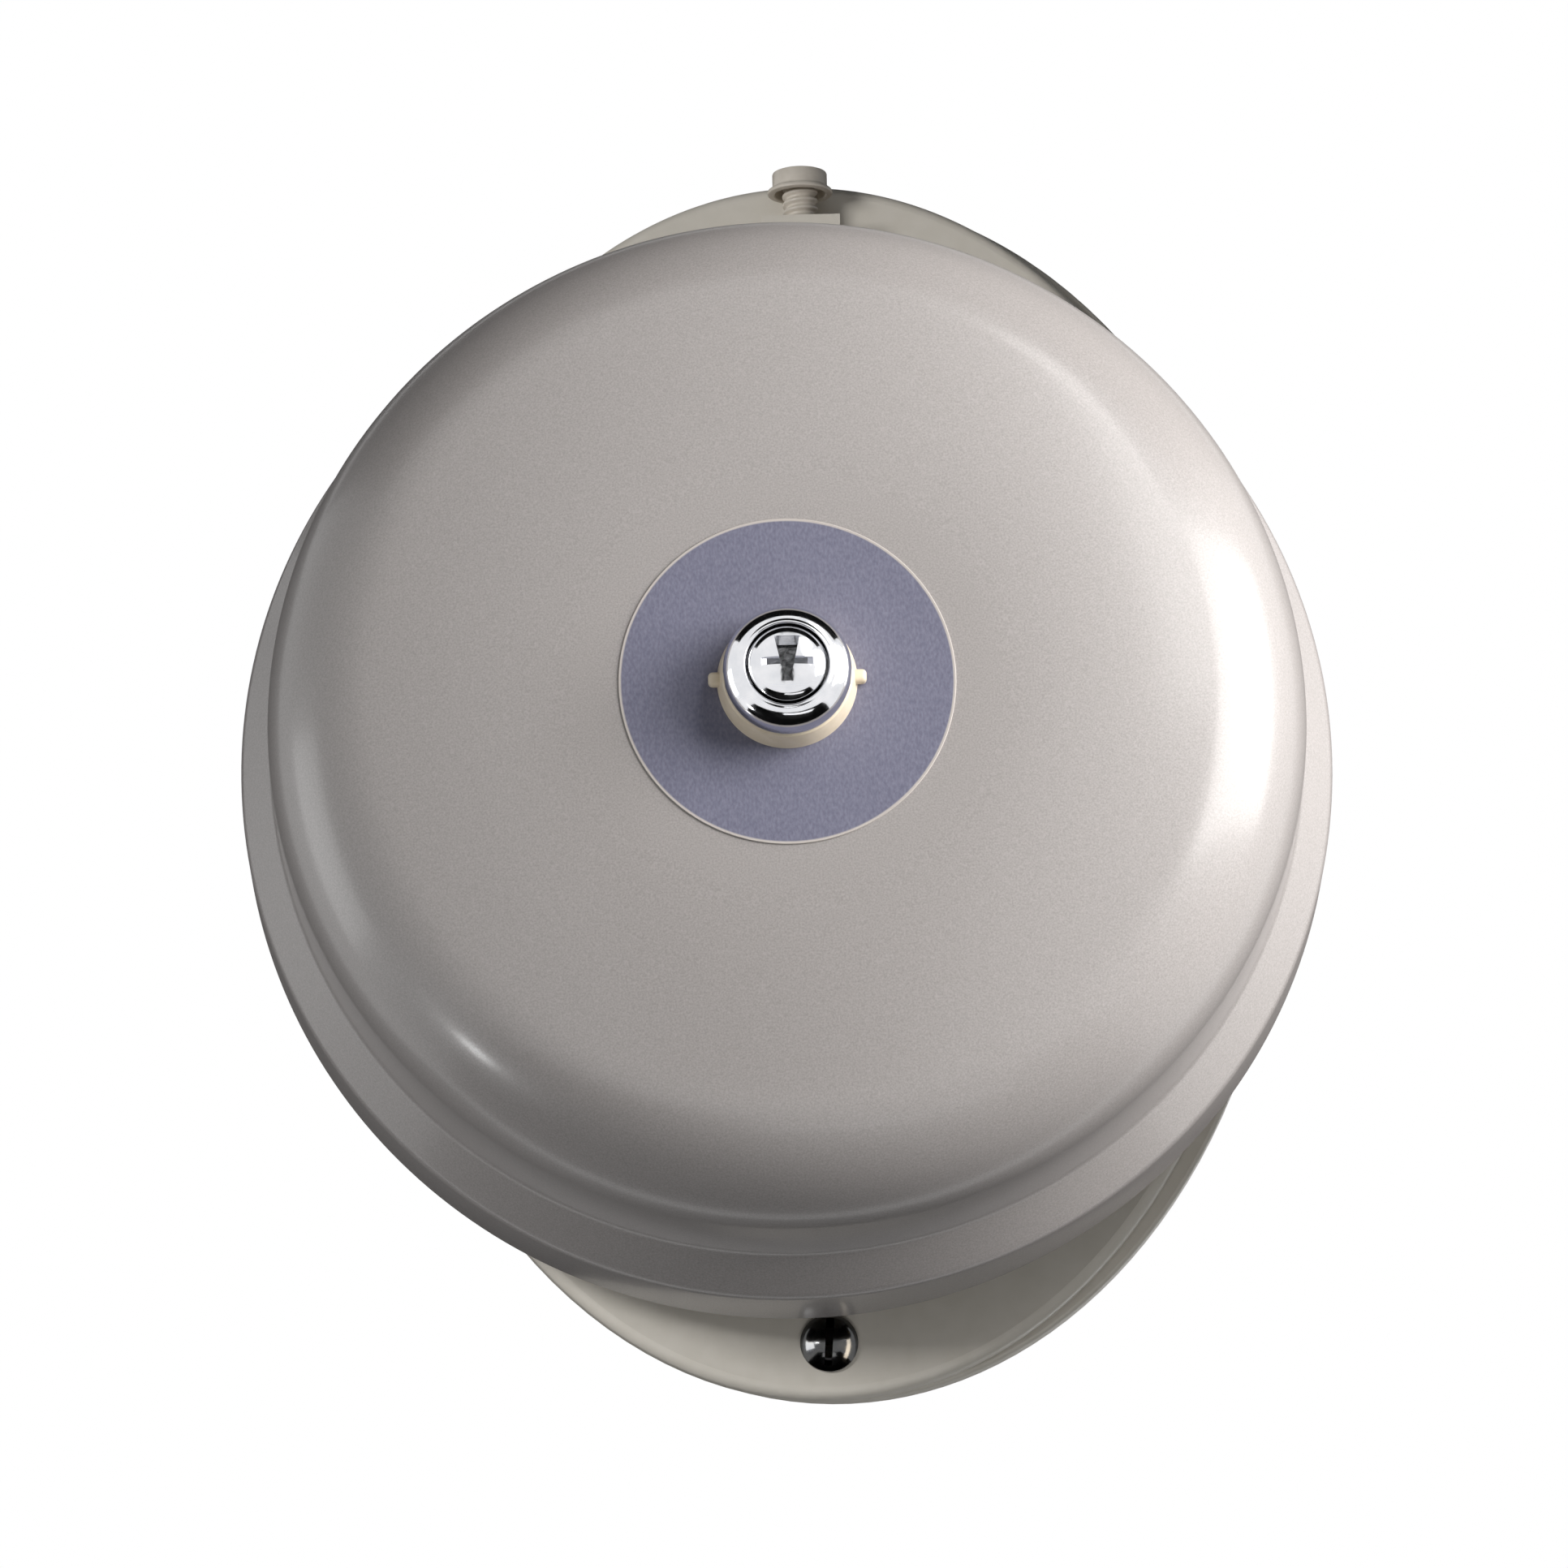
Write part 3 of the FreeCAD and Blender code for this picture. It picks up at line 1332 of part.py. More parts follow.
def make_terminal_screws():
    slot_floor = terminal_floor + S["TerminalScrewLength"] - S["DriverSlotDepth"]
    slot_foot = -S["TerminalDrop"] - S["DriverSlotWidth"] / 2
    reach = S["TerminalScrewRadius"] * 2
    screws = []
    for x in terminal_places():
        shank = rod(S["TerminalScrewRadius"], S["TerminalScrewLength"], x, terminal_floor,
                    -S["TerminalDrop"])
        slot = block(x - reach, slot_floor, slot_foot, reach * 2, S["DriverSlotDepth"] * 2,
                     S["DriverSlotWidth"])
        screws.append(drilled("Screw", shank, slot))
    return grouped("terminal_screws", *screws)


def build():
    makers = [
        make_rear_tray,
        make_cable_grommet,
        make_front_cover,
        make_cover_screw,
        make_cover_screw_insert,
        make_adjuster_cap,
        make_adjuster_stem,
        make_gong,
        make_label_disc,
        make_gong_pad,
        make_gong_pillar,
        make_pillar_nut,
        make_gong_bush,
        make_cup_washer,
        make_centre_screw,
        make_chassis_plate,
        make_chassis_screws,
        make_magnet_yoke,
        make_magnet_cores,
        make_armature,
        make_hammer_rod,
        make_hammer_ball,
        make_contact_leaf,
        make_contact_point,
        make_leaf_rivet,
        make_hinge_bracket,
        make_hinge_pin,
        make_stop_bracket,
        make_contact_block,
        make_contact_screw,
        make_contact_locknut,
        make_capacitor,
        make_terminal_block,
        make_terminal_screws,
    ]
    nodes = [make() for make in makers]
    nodes += make_coil("left", near_coil_x)
    nodes += make_coil("right", far_coil_x)
    return nodes


def check(nodes):
    doc.recompute()
    for item in doc.Objects:
        if "Invalid" in item.State or "Error" in item.State:
            raise RuntimeError(f"{item.Name} is {item.State}")
    for node in nodes:
        if node.Shape.isNull() or not node.Shape.isValid():
            raise RuntimeError(f"{node.Label} has no valid shape")


nodes = build()
check(nodes)
for node in nodes:
    node.Shape.exportStep(f"parts/{node.Label}.step")
    solids = len(node.Shape.Solids)
    box = node.Shape.BoundBox
    print(f"{node.Label}: {solids} solid(s), {node.Shape.Volume:.0f} mm3, "
          f"x {box.XMin:.1f}..{box.XMax:.1f}, depth {-box.YMax:.1f}..{-box.YMin:.1f}, "
          f"z {box.ZMin:.1f}..{box.ZMax:.1f}")
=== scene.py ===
# %% [markdown]
# # A wall bell, dressed for the camera
# The bell hangs on a wall: an oval plastic base, and in front of it a painted steel gong
# that hides the hammer.  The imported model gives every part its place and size.  This
# lesson gives each part its finish, and models again the parts whose small shapes show:
# the gong's soft bends, the centre fixing, the screw heads and the adjuster's thread.

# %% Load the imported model
import json
import math

import bpy
from mathutils import Matrix, Vector


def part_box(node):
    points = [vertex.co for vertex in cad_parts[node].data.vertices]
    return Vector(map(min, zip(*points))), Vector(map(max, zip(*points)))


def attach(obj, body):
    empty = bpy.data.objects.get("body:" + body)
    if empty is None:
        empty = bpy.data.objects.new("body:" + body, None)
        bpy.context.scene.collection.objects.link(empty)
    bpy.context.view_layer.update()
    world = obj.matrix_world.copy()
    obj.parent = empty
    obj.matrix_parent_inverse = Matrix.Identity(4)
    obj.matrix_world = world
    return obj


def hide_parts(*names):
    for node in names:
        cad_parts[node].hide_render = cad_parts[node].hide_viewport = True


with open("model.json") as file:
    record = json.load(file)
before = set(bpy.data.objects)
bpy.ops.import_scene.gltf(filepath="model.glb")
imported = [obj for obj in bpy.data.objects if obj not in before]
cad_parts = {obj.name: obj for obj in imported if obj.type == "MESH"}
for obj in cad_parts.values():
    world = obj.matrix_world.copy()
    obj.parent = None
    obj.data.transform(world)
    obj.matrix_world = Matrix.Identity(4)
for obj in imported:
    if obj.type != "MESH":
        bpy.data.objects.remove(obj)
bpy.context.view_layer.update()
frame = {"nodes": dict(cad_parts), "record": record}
nodes = frame["nodes"]
print(len(nodes), "nodes loaded")

# %% [markdown]
# ## Small helpers
# Lengths are easier to read in millimetres, while Blender works in metres here.  The
# bell faces -Y, so "depth" means the distance out from the wall, and a point at a depth
# has a negative y.  Colours are written as they look on a screen and turned into the
# linear values that a shader wants.

# %% Lengths and colours
MM = 0.001


def tone(red, green, blue):
    """A screen colour from 0 to 255 as a linear colour for a shader."""
    linear = []
    for level in (red, green, blue):
        level = level / 255
        linear.append(level / 12.92 if level <= 0.04045 else ((level + 0.055) / 1.055) ** 2.4)
    return (*linear, 1.0)


def middle(node):
    """Centre of a node's box, in millimetres."""
    low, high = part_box(node)
    return (low + high) / 2 / MM


gong_x, _, gong_z = middle("gong")
stem_x, stem_y, _ = middle("adjuster_cap")
print(f"gong axis x {gong_x:.2f}, z {gong_z:.2f}; adjuster depth {-stem_y:.2f}")

# %% [markdown]
# ## One piece at a time
# Blender's tools work on whatever is selected and active, so a step starts by picking one
# piece and no other.  A finished mesh is tidied once: doubled corners are joined, faces
# turned outwards, its place is fixed in the mesh, and only its sharp edges stay sharp.

# %% Picking and tidying
def clear_selection():
    if bpy.context.object and bpy.context.object.mode != "OBJECT":
        bpy.ops.object.mode_set(mode="OBJECT")
    bpy.ops.object.select_all(action="DESELECT")


def select_only(piece):
    clear_selection()
    piece.select_set(True)
    bpy.context.view_layer.objects.active = piece


MERGE_REACH = 1e-7


def tidy_up(piece, sharp=35):
    """Join doubled corners, turn faces outwards, fix the place and shade smoothly."""
    select_only(piece)
    bpy.ops.object.transform_apply(location=True, rotation=True, scale=True)
    bpy.ops.object.mode_set(mode="EDIT")
    bpy.ops.mesh.select_all(action="SELECT")
    bpy.ops.mesh.remove_doubles(threshold=MERGE_REACH)
    bpy.ops.mesh.normals_make_consistent(inside=False)
    bpy.ops.object.mode_set(mode="OBJECT")
    bpy.ops.object.shade_smooth_by_angle(angle=math.radians(sharp))
    clear_selection()
    return piece


print(f"corners closer than {MERGE_REACH / MM:.4f} mm are joined")

# %% [markdown]
# ## Pieces that are round about an axis
# A press, a lathe and a round mould all make shapes that are the same all the way round.
# By hand this is a circle, extruded again and again, each new ring pushed along the axis
# and scaled to its radius.  The helper does just that for a list of (radius, depth)
# corners.  A closed section comes back to its first ring, which a bridge then joins.

# %% Ring by ring
def ring_stack(name, rings, x, z, sides, closed=True, upright=False, depth=0.0):
    """Extrude a circle through (radius, place) corners, forward or, if upright, upward.

    A radius of 0 closes the piece with a pole at that end.
    """
    def on_axis(place):
        if upright:
            return (x * MM, -depth * MM, place * MM)
        return (x * MM, -place * MM, z * MM)

    clear_selection()
    radius, place = rings[0]
    turn = (0, 0, 0) if upright else (math.pi / 2, 0, 0)
    bpy.ops.mesh.primitive_circle_add(
        vertices=sides, radius=radius * MM, location=on_axis(place), rotation=turn
    )
    piece = bpy.context.object
    piece.name = name
    piece.data.name = name
    bpy.ops.object.mode_set(mode="EDIT")
    bpy.ops.mesh.select_all(action="SELECT")
    for next_radius, next_place in rings[1:]:
        step = (next_place - place) * MM
        move = (0, 0, step) if upright else (0, -step, 0)
        bpy.ops.mesh.extrude_region_move(TRANSFORM_OT_translate={"value": move})
        if next_radius == 0:
            bpy.ops.mesh.merge(type="CENTER")
            break
        if next_radius != radius:
            factor = next_radius / radius
            scale = (factor, factor, 1) if upright else (factor, 1, factor)
            bpy.ops.transform.resize(value=scale, center_override=on_axis(next_place))
        radius, place = next_radius, next_place
    if closed:
        bpy.ops.mesh.select_all(action="DESELECT")
        bpy.ops.mesh.select_non_manifold()
        bpy.ops.mesh.bridge_edge_loops()
    bpy.ops.object.mode_set(mode="OBJECT")
    print(f"{name}: {len(rings)} rings of {sides}, {len(piece.data.polygons)} faces")
    return tidy_up(piece)


print("ring helper ready")

# %% [markdown]
# ## Bends in a section
# Nothing that is pressed, turned or moulded has a corner of no radius.  A bend adds the
# corners of an arc to a section, about a centre and from one angle to another.

# %% Bends
def bend(centre_radius, centre_place, radius, start, end, steps):
    """Corners of a rounded part of a section, between two angles in degrees."""
    corners = []
    for step in range(steps + 1):
        angle = math.radians(start + (end - start) * step / steps)
        corners.append((centre_radius + radius * math.cos(angle),
                        centre_place + radius * math.sin(angle)))
    return corners


print("a quarter bend in 4 steps has", len(bend(0, 0, 1, 0, 90, 4)), "corners")

# %% [markdown]
# ## The gong
# The gong is pressed from 1.6 mm steel.  A straight skirt ends in a soft bend, a short
# slope leads in to the narrower side, and a wide shoulder rolls over into a crown that is
# almost flat.  The section is drawn once for the outside and once, one wall further in, for
# the inside; the rim between them is rounded.

# %% Gong section
WALL = 1.6
RIM = 29.0
FACE = 85.0
SKIRT_END = RIM + 12.0
SKIRT_BEND = 4.0
LEDGE_BEND = 4.0
STEP_ANGLE = 32.0
GONG_RADIUS = 75.0
DOME_RADIUS = 70.4
SHOULDER = 18.0
CROWN = 150.0
SEAT = 24.0
GONG_BORE = 4.3


def gong_side(inset, detail):
    """One face of the sheet from the rim to the bore, moved in by inset."""
    lean = math.radians(STEP_ANGLE)
    bends = SKIRT_BEND + LEDGE_BEND
    slope = (GONG_RADIUS - DOME_RADIUS - bends * (1 - math.cos(lean))) / math.sin(lean)
    ledge = SKIRT_END + bends * math.sin(lean) + slope * math.cos(lean)
    shoulder_radius = DOME_RADIUS - SHOULDER
    spread = shoulder_radius - SEAT
    crown_place = FACE - CROWN
    shoulder_place = crown_place + math.sqrt((CROWN - SHOULDER) ** 2 - spread ** 2)
    turn = math.degrees(math.atan2(shoulder_place - crown_place, spread))
    corners = [(GONG_RADIUS - inset, RIM + WALL / 2)]
    corners += bend(GONG_RADIUS - SKIRT_BEND, SKIRT_END, SKIRT_BEND - inset, 0, STEP_ANGLE, 8)
    corners += bend(DOME_RADIUS + LEDGE_BEND, ledge, LEDGE_BEND + inset, 180 + STEP_ANGLE, 180, 8)
    corners += bend(shoulder_radius, shoulder_place, SHOULDER - inset, 0, turn, detail)
    corners += bend(SEAT, crown_place, CROWN - inset, turn, 90, 10)[1:]
    corners.append((GONG_BORE, FACE - inset))
    return corners


outside = gong_side(0.0, 22)
inside = gong_side(WALL, 16)
rim = bend(GONG_RADIUS - WALL / 2, RIM + WALL / 2, WALL / 2, 180, 360, 8)
section = inside[::-1] + rim[1:-1] + outside
ring_stack("gong_shell", section, gong_x, gong_z, sides=256)

# %% [markdown]
# ## The label and the plastic bush
# A round label lies on the crown, bare and matt.  A cream plastic bush stands through it
# and keeps the steel screw off the paint.  Its edges are softened by the mould, and a
# small nib on each side keeps it from turning while the screw is driven.

# %% Label and bush
LABEL_RADIUS = 22.6
LABEL_HOLE = 9.4
LABEL_TOP = FACE + 0.25
LABEL_EDGE = 0.06
SCREW_BORE = 2.8
BUSH_RADIUS = 9.1
BUSH_FOOT = FACE + 0.02
BUSH_TOP = FACE + 4.0
BUSH_EDGE = 0.4
SPIGOT_RADIUS = 4.2
SPIGOT_END = FACE - 1.3

ring_stack(
    "label_sheet",
    [(LABEL_HOLE, FACE), (LABEL_RADIUS - LABEL_EDGE, FACE), (LABEL_RADIUS, FACE + LABEL_EDGE),
     (LABEL_RADIUS, LABEL_TOP - LABEL_EDGE), (LABEL_RADIUS - LABEL_EDGE, LABEL_TOP),
     (LABEL_HOLE, LABEL_TOP)],
    gong_x, gong_z, sides=160,
)
bush_body = ring_stack(
    "bush_body",
    [(SCREW_BORE, SPIGOT_END), (SPIGOT_RADIUS, SPIGOT_END), (SPIGOT_RADIUS, BUSH_FOOT),
     (BUSH_RADIUS + 0.35, BUSH_FOOT)]
    + bend(BUSH_RADIUS - 0.7, BUSH_TOP - BUSH_EDGE, BUSH_EDGE, 10, 90, 5)
    + [(SCREW_BORE, BUSH_TOP)],
    gong_x, gong_z, sides=128,
)

# %% [markdown]
# ## The nibs
# The nibs are small blocks with rounded edges, set into the bush at half its height.  A
# block is the right start for a lug with flat sides; a bevel gives it the mould's radius.

# %% Nibs on the bush
def soft_block(name, centre, size, radius):
    """A block whose edges are all rounded, at a centre (x, depth, z)."""
    clear_selection()
    spot = (centre[0] * MM, -centre[1] * MM, centre[2] * MM)
    bpy.ops.mesh.primitive_cube_add(size=1, location=spot)
    piece = bpy.context.object
    piece.name = name
    piece.data.name = name
    piece.scale = (size[0] * MM, size[1] * MM, size[2] * MM)
    bpy.ops.object.transform_apply(location=True, rotation=True, scale=True)
    if radius:
        bpy.ops.object.mode_set(mode="EDIT")
        bpy.ops.mesh.select_all(action="SELECT")
        bpy.ops.mesh.bevel(offset=radius * MM, segments=4, affect="EDGES")
        bpy.ops.object.mode_set(mode="OBJECT")
    return tidy_up(piece)


def join_to(piece, others):
    """Make the other meshes part of this one."""
    select_only(piece)
    for other in others:
        other.select_set(True)
    bpy.ops.object.join()
    clear_selection()
    return piece


NIB_SIZE = (2.5, 1.8, 1.9)
NIB_EDGE = 0.6

nibs = []
for side in (-1, 1):
    centre = (gong_x + side * (BUSH_RADIUS + 0.25), FACE + 1.3, gong_z)
    nibs.append(soft_block(f"nib{side}", centre, NIB_SIZE, NIB_EDGE))
join_to(bush_body, nibs)
print("bush with nibs:", len(bush_body.data.polygons), "faces")

# %% [markdown]
# ## The cup
# The chromed cup spreads the screw's load.  Its flank is one round shoulder that runs up
# to a thin lip, and the screw's head will sit inside with a dark gap around it.  A cup
# like this is turned or pressed, so it is again a stack of rings.

# %% Cup
CUP_RADIUS = 8.6
CUP_SHOULDER = 3.15
CUP_FLOOR = BUSH_TOP + 1.6
CUP_TOP = BUSH_TOP + 4.9
CUP_MOUTH = 5.5

cup_foot = [(SCREW_BORE, BUSH_TOP), (CUP_RADIUS - 0.15, BUSH_TOP),
            (CUP_RADIUS - 0.03, BUSH_TOP + 0.12), (CUP_RADIUS, BUSH_TOP + 0.4)]
cup_flank = bend(CUP_RADIUS - CUP_SHOULDER, BUSH_TOP + 1.65, CUP_SHOULDER, 0, 78, 16)
cup_lip = [(CUP_MOUTH + 0.45, CUP_TOP - 0.03), (CUP_MOUTH + 0.25, CUP_TOP),
           (CUP_MOUTH + 0.1, CUP_TOP - 0.1), (CUP_MOUTH, CUP_TOP - 0.35)]
cup_inside = [(CUP_MOUTH, CUP_FLOOR + 0.2), (CUP_MOUTH - 0.2, CUP_FLOOR),
              (SCREW_BORE, CUP_FLOOR)]
ring_stack(
    "chrome_cup", cup_foot + cup_flank + cup_lip + cup_inside, gong_x, gong_z, sides=128
)

# %% [markdown]
# ## The screw in the cup
# The domed head is the top of a large ball, so its bend follows from its width and its
# rise.  A screw is turned like the cup, so it is a stack of rings too, and it ends in a
# pole at the top of the dome.

# %% Screw head
HEAD_RADIUS = 5.15
HEAD_TOP = CUP_FLOOR + 4.6
DOME_RISE = 1.3
SHANK_RADIUS = 2.5
SHANK_END = 72.5

dome_bend = (HEAD_RADIUS ** 2 / DOME_RISE + DOME_RISE) / 2
dome_edge = math.degrees(math.acos(HEAD_RADIUS / dome_bend))
dome = bend(0, HEAD_TOP - dome_bend, dome_bend, dome_edge, 90, 10)
dome_screw = ring_stack(
    "dome_screw",
    [(SHANK_RADIUS, SHANK_END), (SHANK_RADIUS, CUP_FLOOR), (HEAD_RADIUS - 0.1, CUP_FLOOR),
     (HEAD_RADIUS, CUP_FLOOR + 0.1), (HEAD_RADIUS, HEAD_TOP - DOME_RISE - 0.25)]
    + dome[1:-1] + [(0, HEAD_TOP)],
    gong_x, gong_z, sides=96, closed=False,
)

# %% [markdown]
# ## The cross in the screw
# The cross is cut away, as a driver's tip would fill it: one bar across and one upright
# bar, each narrower at its deep end.  The upright bar is worn wide at its top end and
# runs nearly to a point at its lower end.  A bar is a block whose far corners are scaled
# in, and a Boolean modifier takes it out of the head.

# %% Crossed recess
def cut_away(piece, cutter):
    """Take the cutter's shape out of the piece for good."""
    select_only(piece)
    cut = piece.modifiers.new("cut", "BOOLEAN")
    cut.operation = "DIFFERENCE"
    cut.solver = "EXACT"
    cut.object = cutter
    bpy.ops.object.modifier_apply(modifier=cut.name)
    bpy.data.objects.remove(cutter)
    return tidy_up(piece, sharp=30)


def narrow(bar, chosen, share, pivot):
    """Scale the chosen corners of a bar towards a point."""
    bpy.ops.object.mode_set(mode="EDIT")
    bpy.ops.mesh.select_all(action="DESELECT")
    bpy.ops.object.mode_set(mode="OBJECT")
    for corner in bar.data.vertices:
        corner.select = chosen(corner.co)
    bpy.ops.object.mode_set(mode="EDIT")
    bpy.ops.transform.resize(value=share, center_override=pivot)
    bpy.ops.object.mode_set(mode="OBJECT")


def tapered_bar(name, centre, size, foot, low_end=1.0):
    """A bar that narrows to a share of its size nearest the wall, and at its lower end."""
    bar = soft_block(name, centre, size, 0)
    select_only(bar)
    deepest = -(centre[1] - size[1] / 2) * MM
    pivot = (centre[0] * MM, deepest, centre[2] * MM)
    narrow(bar, lambda at: abs(at.y - deepest) < 1e-6, (foot, 1, foot), pivot)
    narrow(bar, lambda at: at.z < pivot[2], (low_end, 1, 1), pivot)
    clear_selection()
    return bar


CROSS_DEPTH = 3.5
CROSS_SPARE = 1.2

bar_depth = CROSS_DEPTH + CROSS_SPARE
bar_place = HEAD_TOP + (CROSS_SPARE - CROSS_DEPTH) / 2
cut_away(dome_screw, tapered_bar(
    "bar_across", (gong_x, bar_place, gong_z + 0.1), (7.8, bar_depth, 1.2), foot=0.7
))
cut_away(dome_screw, tapered_bar(
    "bar_upright", (gong_x, bar_place, gong_z + 0.5), (3.8, bar_depth, 7.0), foot=0.75,
    low_end=0.2,
))
print("centre screw:", len(dome_screw.data.polygons), "faces")

# %% [markdown]
# ## The cover screw
# One slotted screw holds the cover at its foot.  Its head is a turned dome, so it is a
# stack of rings, and the slot is one straight cut across it, a few degrees off upright.

# %% Cover screw
COVER_FACE = 20.0
SCREW_RADIUS = 4.0
SCREW_BEND = 5.0
BEND_START = 36.87
SCREW_TOP = COVER_FACE + 2.6
SCREW_SHANK = 2.0
SCREW_END = 10.4
SLOT_SIZE = (1.05, 2.6, 12.0)
SLOT_TURN = 4

screw_x, _, screw_z = middle("cover_screw")
foot_screw = ring_stack(
    "foot_screw",
    [(SCREW_SHANK, SCREW_END), (SCREW_SHANK, COVER_FACE), (SCREW_RADIUS - 0.05, COVER_FACE),
     (SCREW_RADIUS, COVER_FACE + 0.05)]
    + bend(0, SCREW_TOP - SCREW_BEND, SCREW_BEND, BEND_START, 90, 12)[:-1] + [(0, SCREW_TOP)],
    screw_x, screw_z, sides=96, closed=False,
)
slot_cut = soft_block("slot_cut", (screw_x, SCREW_TOP, screw_z), SLOT_SIZE, 0)
hub = Matrix.Translation((screw_x * MM, 0, screw_z * MM))
turned_slot = hub @ Matrix.Rotation(math.radians(SLOT_TURN), 4, "Y") @ hub.inverted()
slot_cut.data.transform(turned_slot)
cut_away(foot_screw, slot_cut)
print("cover screw at", round(screw_x, 2), round(screw_z, 2))

# %% [markdown]
# ## The adjuster's cap
# A plastic screw above the gong sets the hammer's stop.  Its cap is a small turned knob
# with a rounded collar and a hollow foot.  It stands upright, so its rings are stacked
# upward this time.

# %% Adjuster cap
CAP_RADIUS = 3.85
COLLAR_RADIUS = 4.6
STEM_DEPTH = -stem_y

cap_foot, cap_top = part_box("adjuster_cap")[0].z / MM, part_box("adjuster_cap")[1].z / MM
hollow = [(2.06, cap_foot + 1.5), (3.3, cap_foot + 1.5), (3.45, cap_foot + 1.35),
          (3.55, cap_foot + 0.15), (3.7, cap_foot)]
collar = [(COLLAR_RADIUS - 0.3, cap_foot + 0.02), (COLLAR_RADIUS - 0.08, cap_foot + 0.12),
          (COLLAR_RADIUS, cap_foot + 0.35), (COLLAR_RADIUS - 0.1, cap_foot + 0.62),
          (COLLAR_RADIUS - 0.35, cap_foot + 0.78)]
knob = [(CAP_RADIUS + 0.13, cap_foot + 0.86), (CAP_RADIUS + 0.02, cap_foot + 1.0),
        (CAP_RADIUS, cap_foot + 1.2), (CAP_RADIUS, cap_top - 0.25),
        (CAP_RADIUS - 0.07, cap_top - 0.08), (CAP_RADIUS - 0.25, cap_top)]
pit = [(0.6, cap_top), (0.5, cap_top - 0.8), (2.0, cap_top - 0.8)]
ring_stack(
    "cap_moulding", hollow + collar + knob + pit, stem_x, 0.0,
    sides=96, upright=True, depth=STEM_DEPTH,
)

# %% [markdown]
# ## The adjuster's thread
# The thread is a real helix, because its ridges show above the gong.  A thread is one
# outline that turns and climbs, so the outline of one turn comes first: a single corner,
# extruded step by step along a flank, over a ridge and down again.

# %% Outline of one turn
PITCH = 1.25
ROOT = 2.05
THREAD_FOOT = 68.0
TURN_STEPS = [(0.16, 0.16), (0.24, 0.16), (0.05, 0.1), (0, 0.2),
              (-0.05, 0.1), (-0.24, 0.16), (-0.16, 0.16), (0, 0.21)]


def thread_turn():
    """Outline of one turn of the thread, extruded corner by corner."""
    clear_selection()
    bpy.ops.mesh.primitive_plane_add(size=MM, location=(ROOT * MM, 0, THREAD_FOOT * MM))
    outline = bpy.context.object
    outline.name = "stem_thread"
    outline.data.name = "stem_thread"
    bpy.ops.object.transform_apply(location=True, rotation=True, scale=True)
    bpy.ops.object.mode_set(mode="EDIT")
    bpy.ops.mesh.select_all(action="SELECT")
    bpy.ops.mesh.merge(type="CENTER")
    for out, up in TURN_STEPS:
        move = (out * MM, 0, up * MM)
        bpy.ops.mesh.extrude_vertices_move(TRANSFORM_OT_translate={"value": move})
    bpy.ops.object.mode_set(mode="OBJECT")
    return outline


stem_thread = thread_turn()
print("outline of", len(stem_thread.data.vertices), "corners")

# %% [markdown]
# ## One turn swept upward
# A Screw modifier turns the outline about the stem's axis and lifts it by one pitch each
# time round.  Once it is applied, the doubled corners between the turns are joined, the
# open ends are filled, and the thread is moved to the stem's place.

# %% Adjuster thread
turns = int((cap_foot + 1.2 - THREAD_FOOT) / PITCH)
sweep = stem_thread.modifiers.new("sweep", "SCREW")
sweep.axis = "Z"
sweep.angle = 2 * math.pi
sweep.screw_offset = PITCH * MM
sweep.iterations = turns
sweep.steps = 48
sweep.render_steps = 48
select_only(stem_thread)
bpy.ops.object.modifier_apply(modifier=sweep.name)
bpy.ops.object.mode_set(mode="EDIT")
bpy.ops.mesh.select_all(action="SELECT")
bpy.ops.mesh.remove_doubles(threshold=1e-6)
bpy.ops.mesh.fill_holes(sides=0)
bpy.ops.object.mode_set(mode="OBJECT")
stem_thread.data.transform(Matrix.Translation((stem_x * MM, -STEM_DEPTH * MM, 0)))
tidy_up(stem_thread, sharp=50)
print("thread of", turns, "turns,", len(stem_thread.data.polygons), "faces")

# %% [markdown]
# ## The stem's smooth end
# Below the thread the stem runs out smooth, down to a small slope at its tip.  This end is
# round, so it is a stack of rings, which goes a little way up into the thread and is
# joined to it.

# %% Stem below the thread
TIP_RADIUS = 1.5
TIP_BORE = 0.5

stem_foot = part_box("adjuster_stem")[0].z / MM
stem_tip = ring_stack(
    "stem_tip",
    [(TIP_RADIUS - 0.3, stem_foot), (TIP_RADIUS, stem_foot + 0.3),
     (TIP_RADIUS, THREAD_FOOT - 0.6), (ROOT - 0.01, THREAD_FOOT),
     (ROOT - 0.01, THREAD_FOOT + 1.0), (TIP_BORE, THREAD_FOOT + 1.0), (TIP_BORE, stem_foot)],
    stem_x, 0.0, sides=48, upright=True, depth=STEM_DEPTH,
)
join_to(stem_thread, [stem_tip])
print("whole stem:", len(stem_thread.data.polygons), "faces")

# %% [markdown]
# ## Who stands for what
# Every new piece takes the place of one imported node, rides on the same body and takes its
# finish from the same slot.

# %% Pieces into the frame
STANDS_FOR = {
    "gong_shell": ("gong", "housing", "gong_paint"),
    "label_sheet": ("label_disc", "housing", "label_card"),
    "bush_body": ("gong_bush", "housing", "bush_plastic"),
    "chrome_cup": ("cup_washer", "housing", "bright_chrome"),
    "dome_screw": ("centre_screw", "housing", "bright_chrome"),
    "foot_screw": ("cover_screw", "housing", "dark_nickel"),
    "cap_moulding": ("adjuster_cap", "adjuster", "adjuster_plastic"),
    "stem_thread": ("adjuster_stem", "adjuster", "adjuster_plastic"),
}
for piece_name, (node, body, slot) in STANDS_FOR.items():
    piece = bpy.data.objects[piece_name]
    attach(piece, body)
    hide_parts(node)
print(len(STANDS_FOR), "pieces in place")

# %% [markdown]
# ## Finishes
# Each finish is a small graph on object coordinates, so it stays put on the part: a fine
# noise shifts the colour, a second one the roughness, and a third raises the surface.
# Grain sizes are real lengths in millimetres.

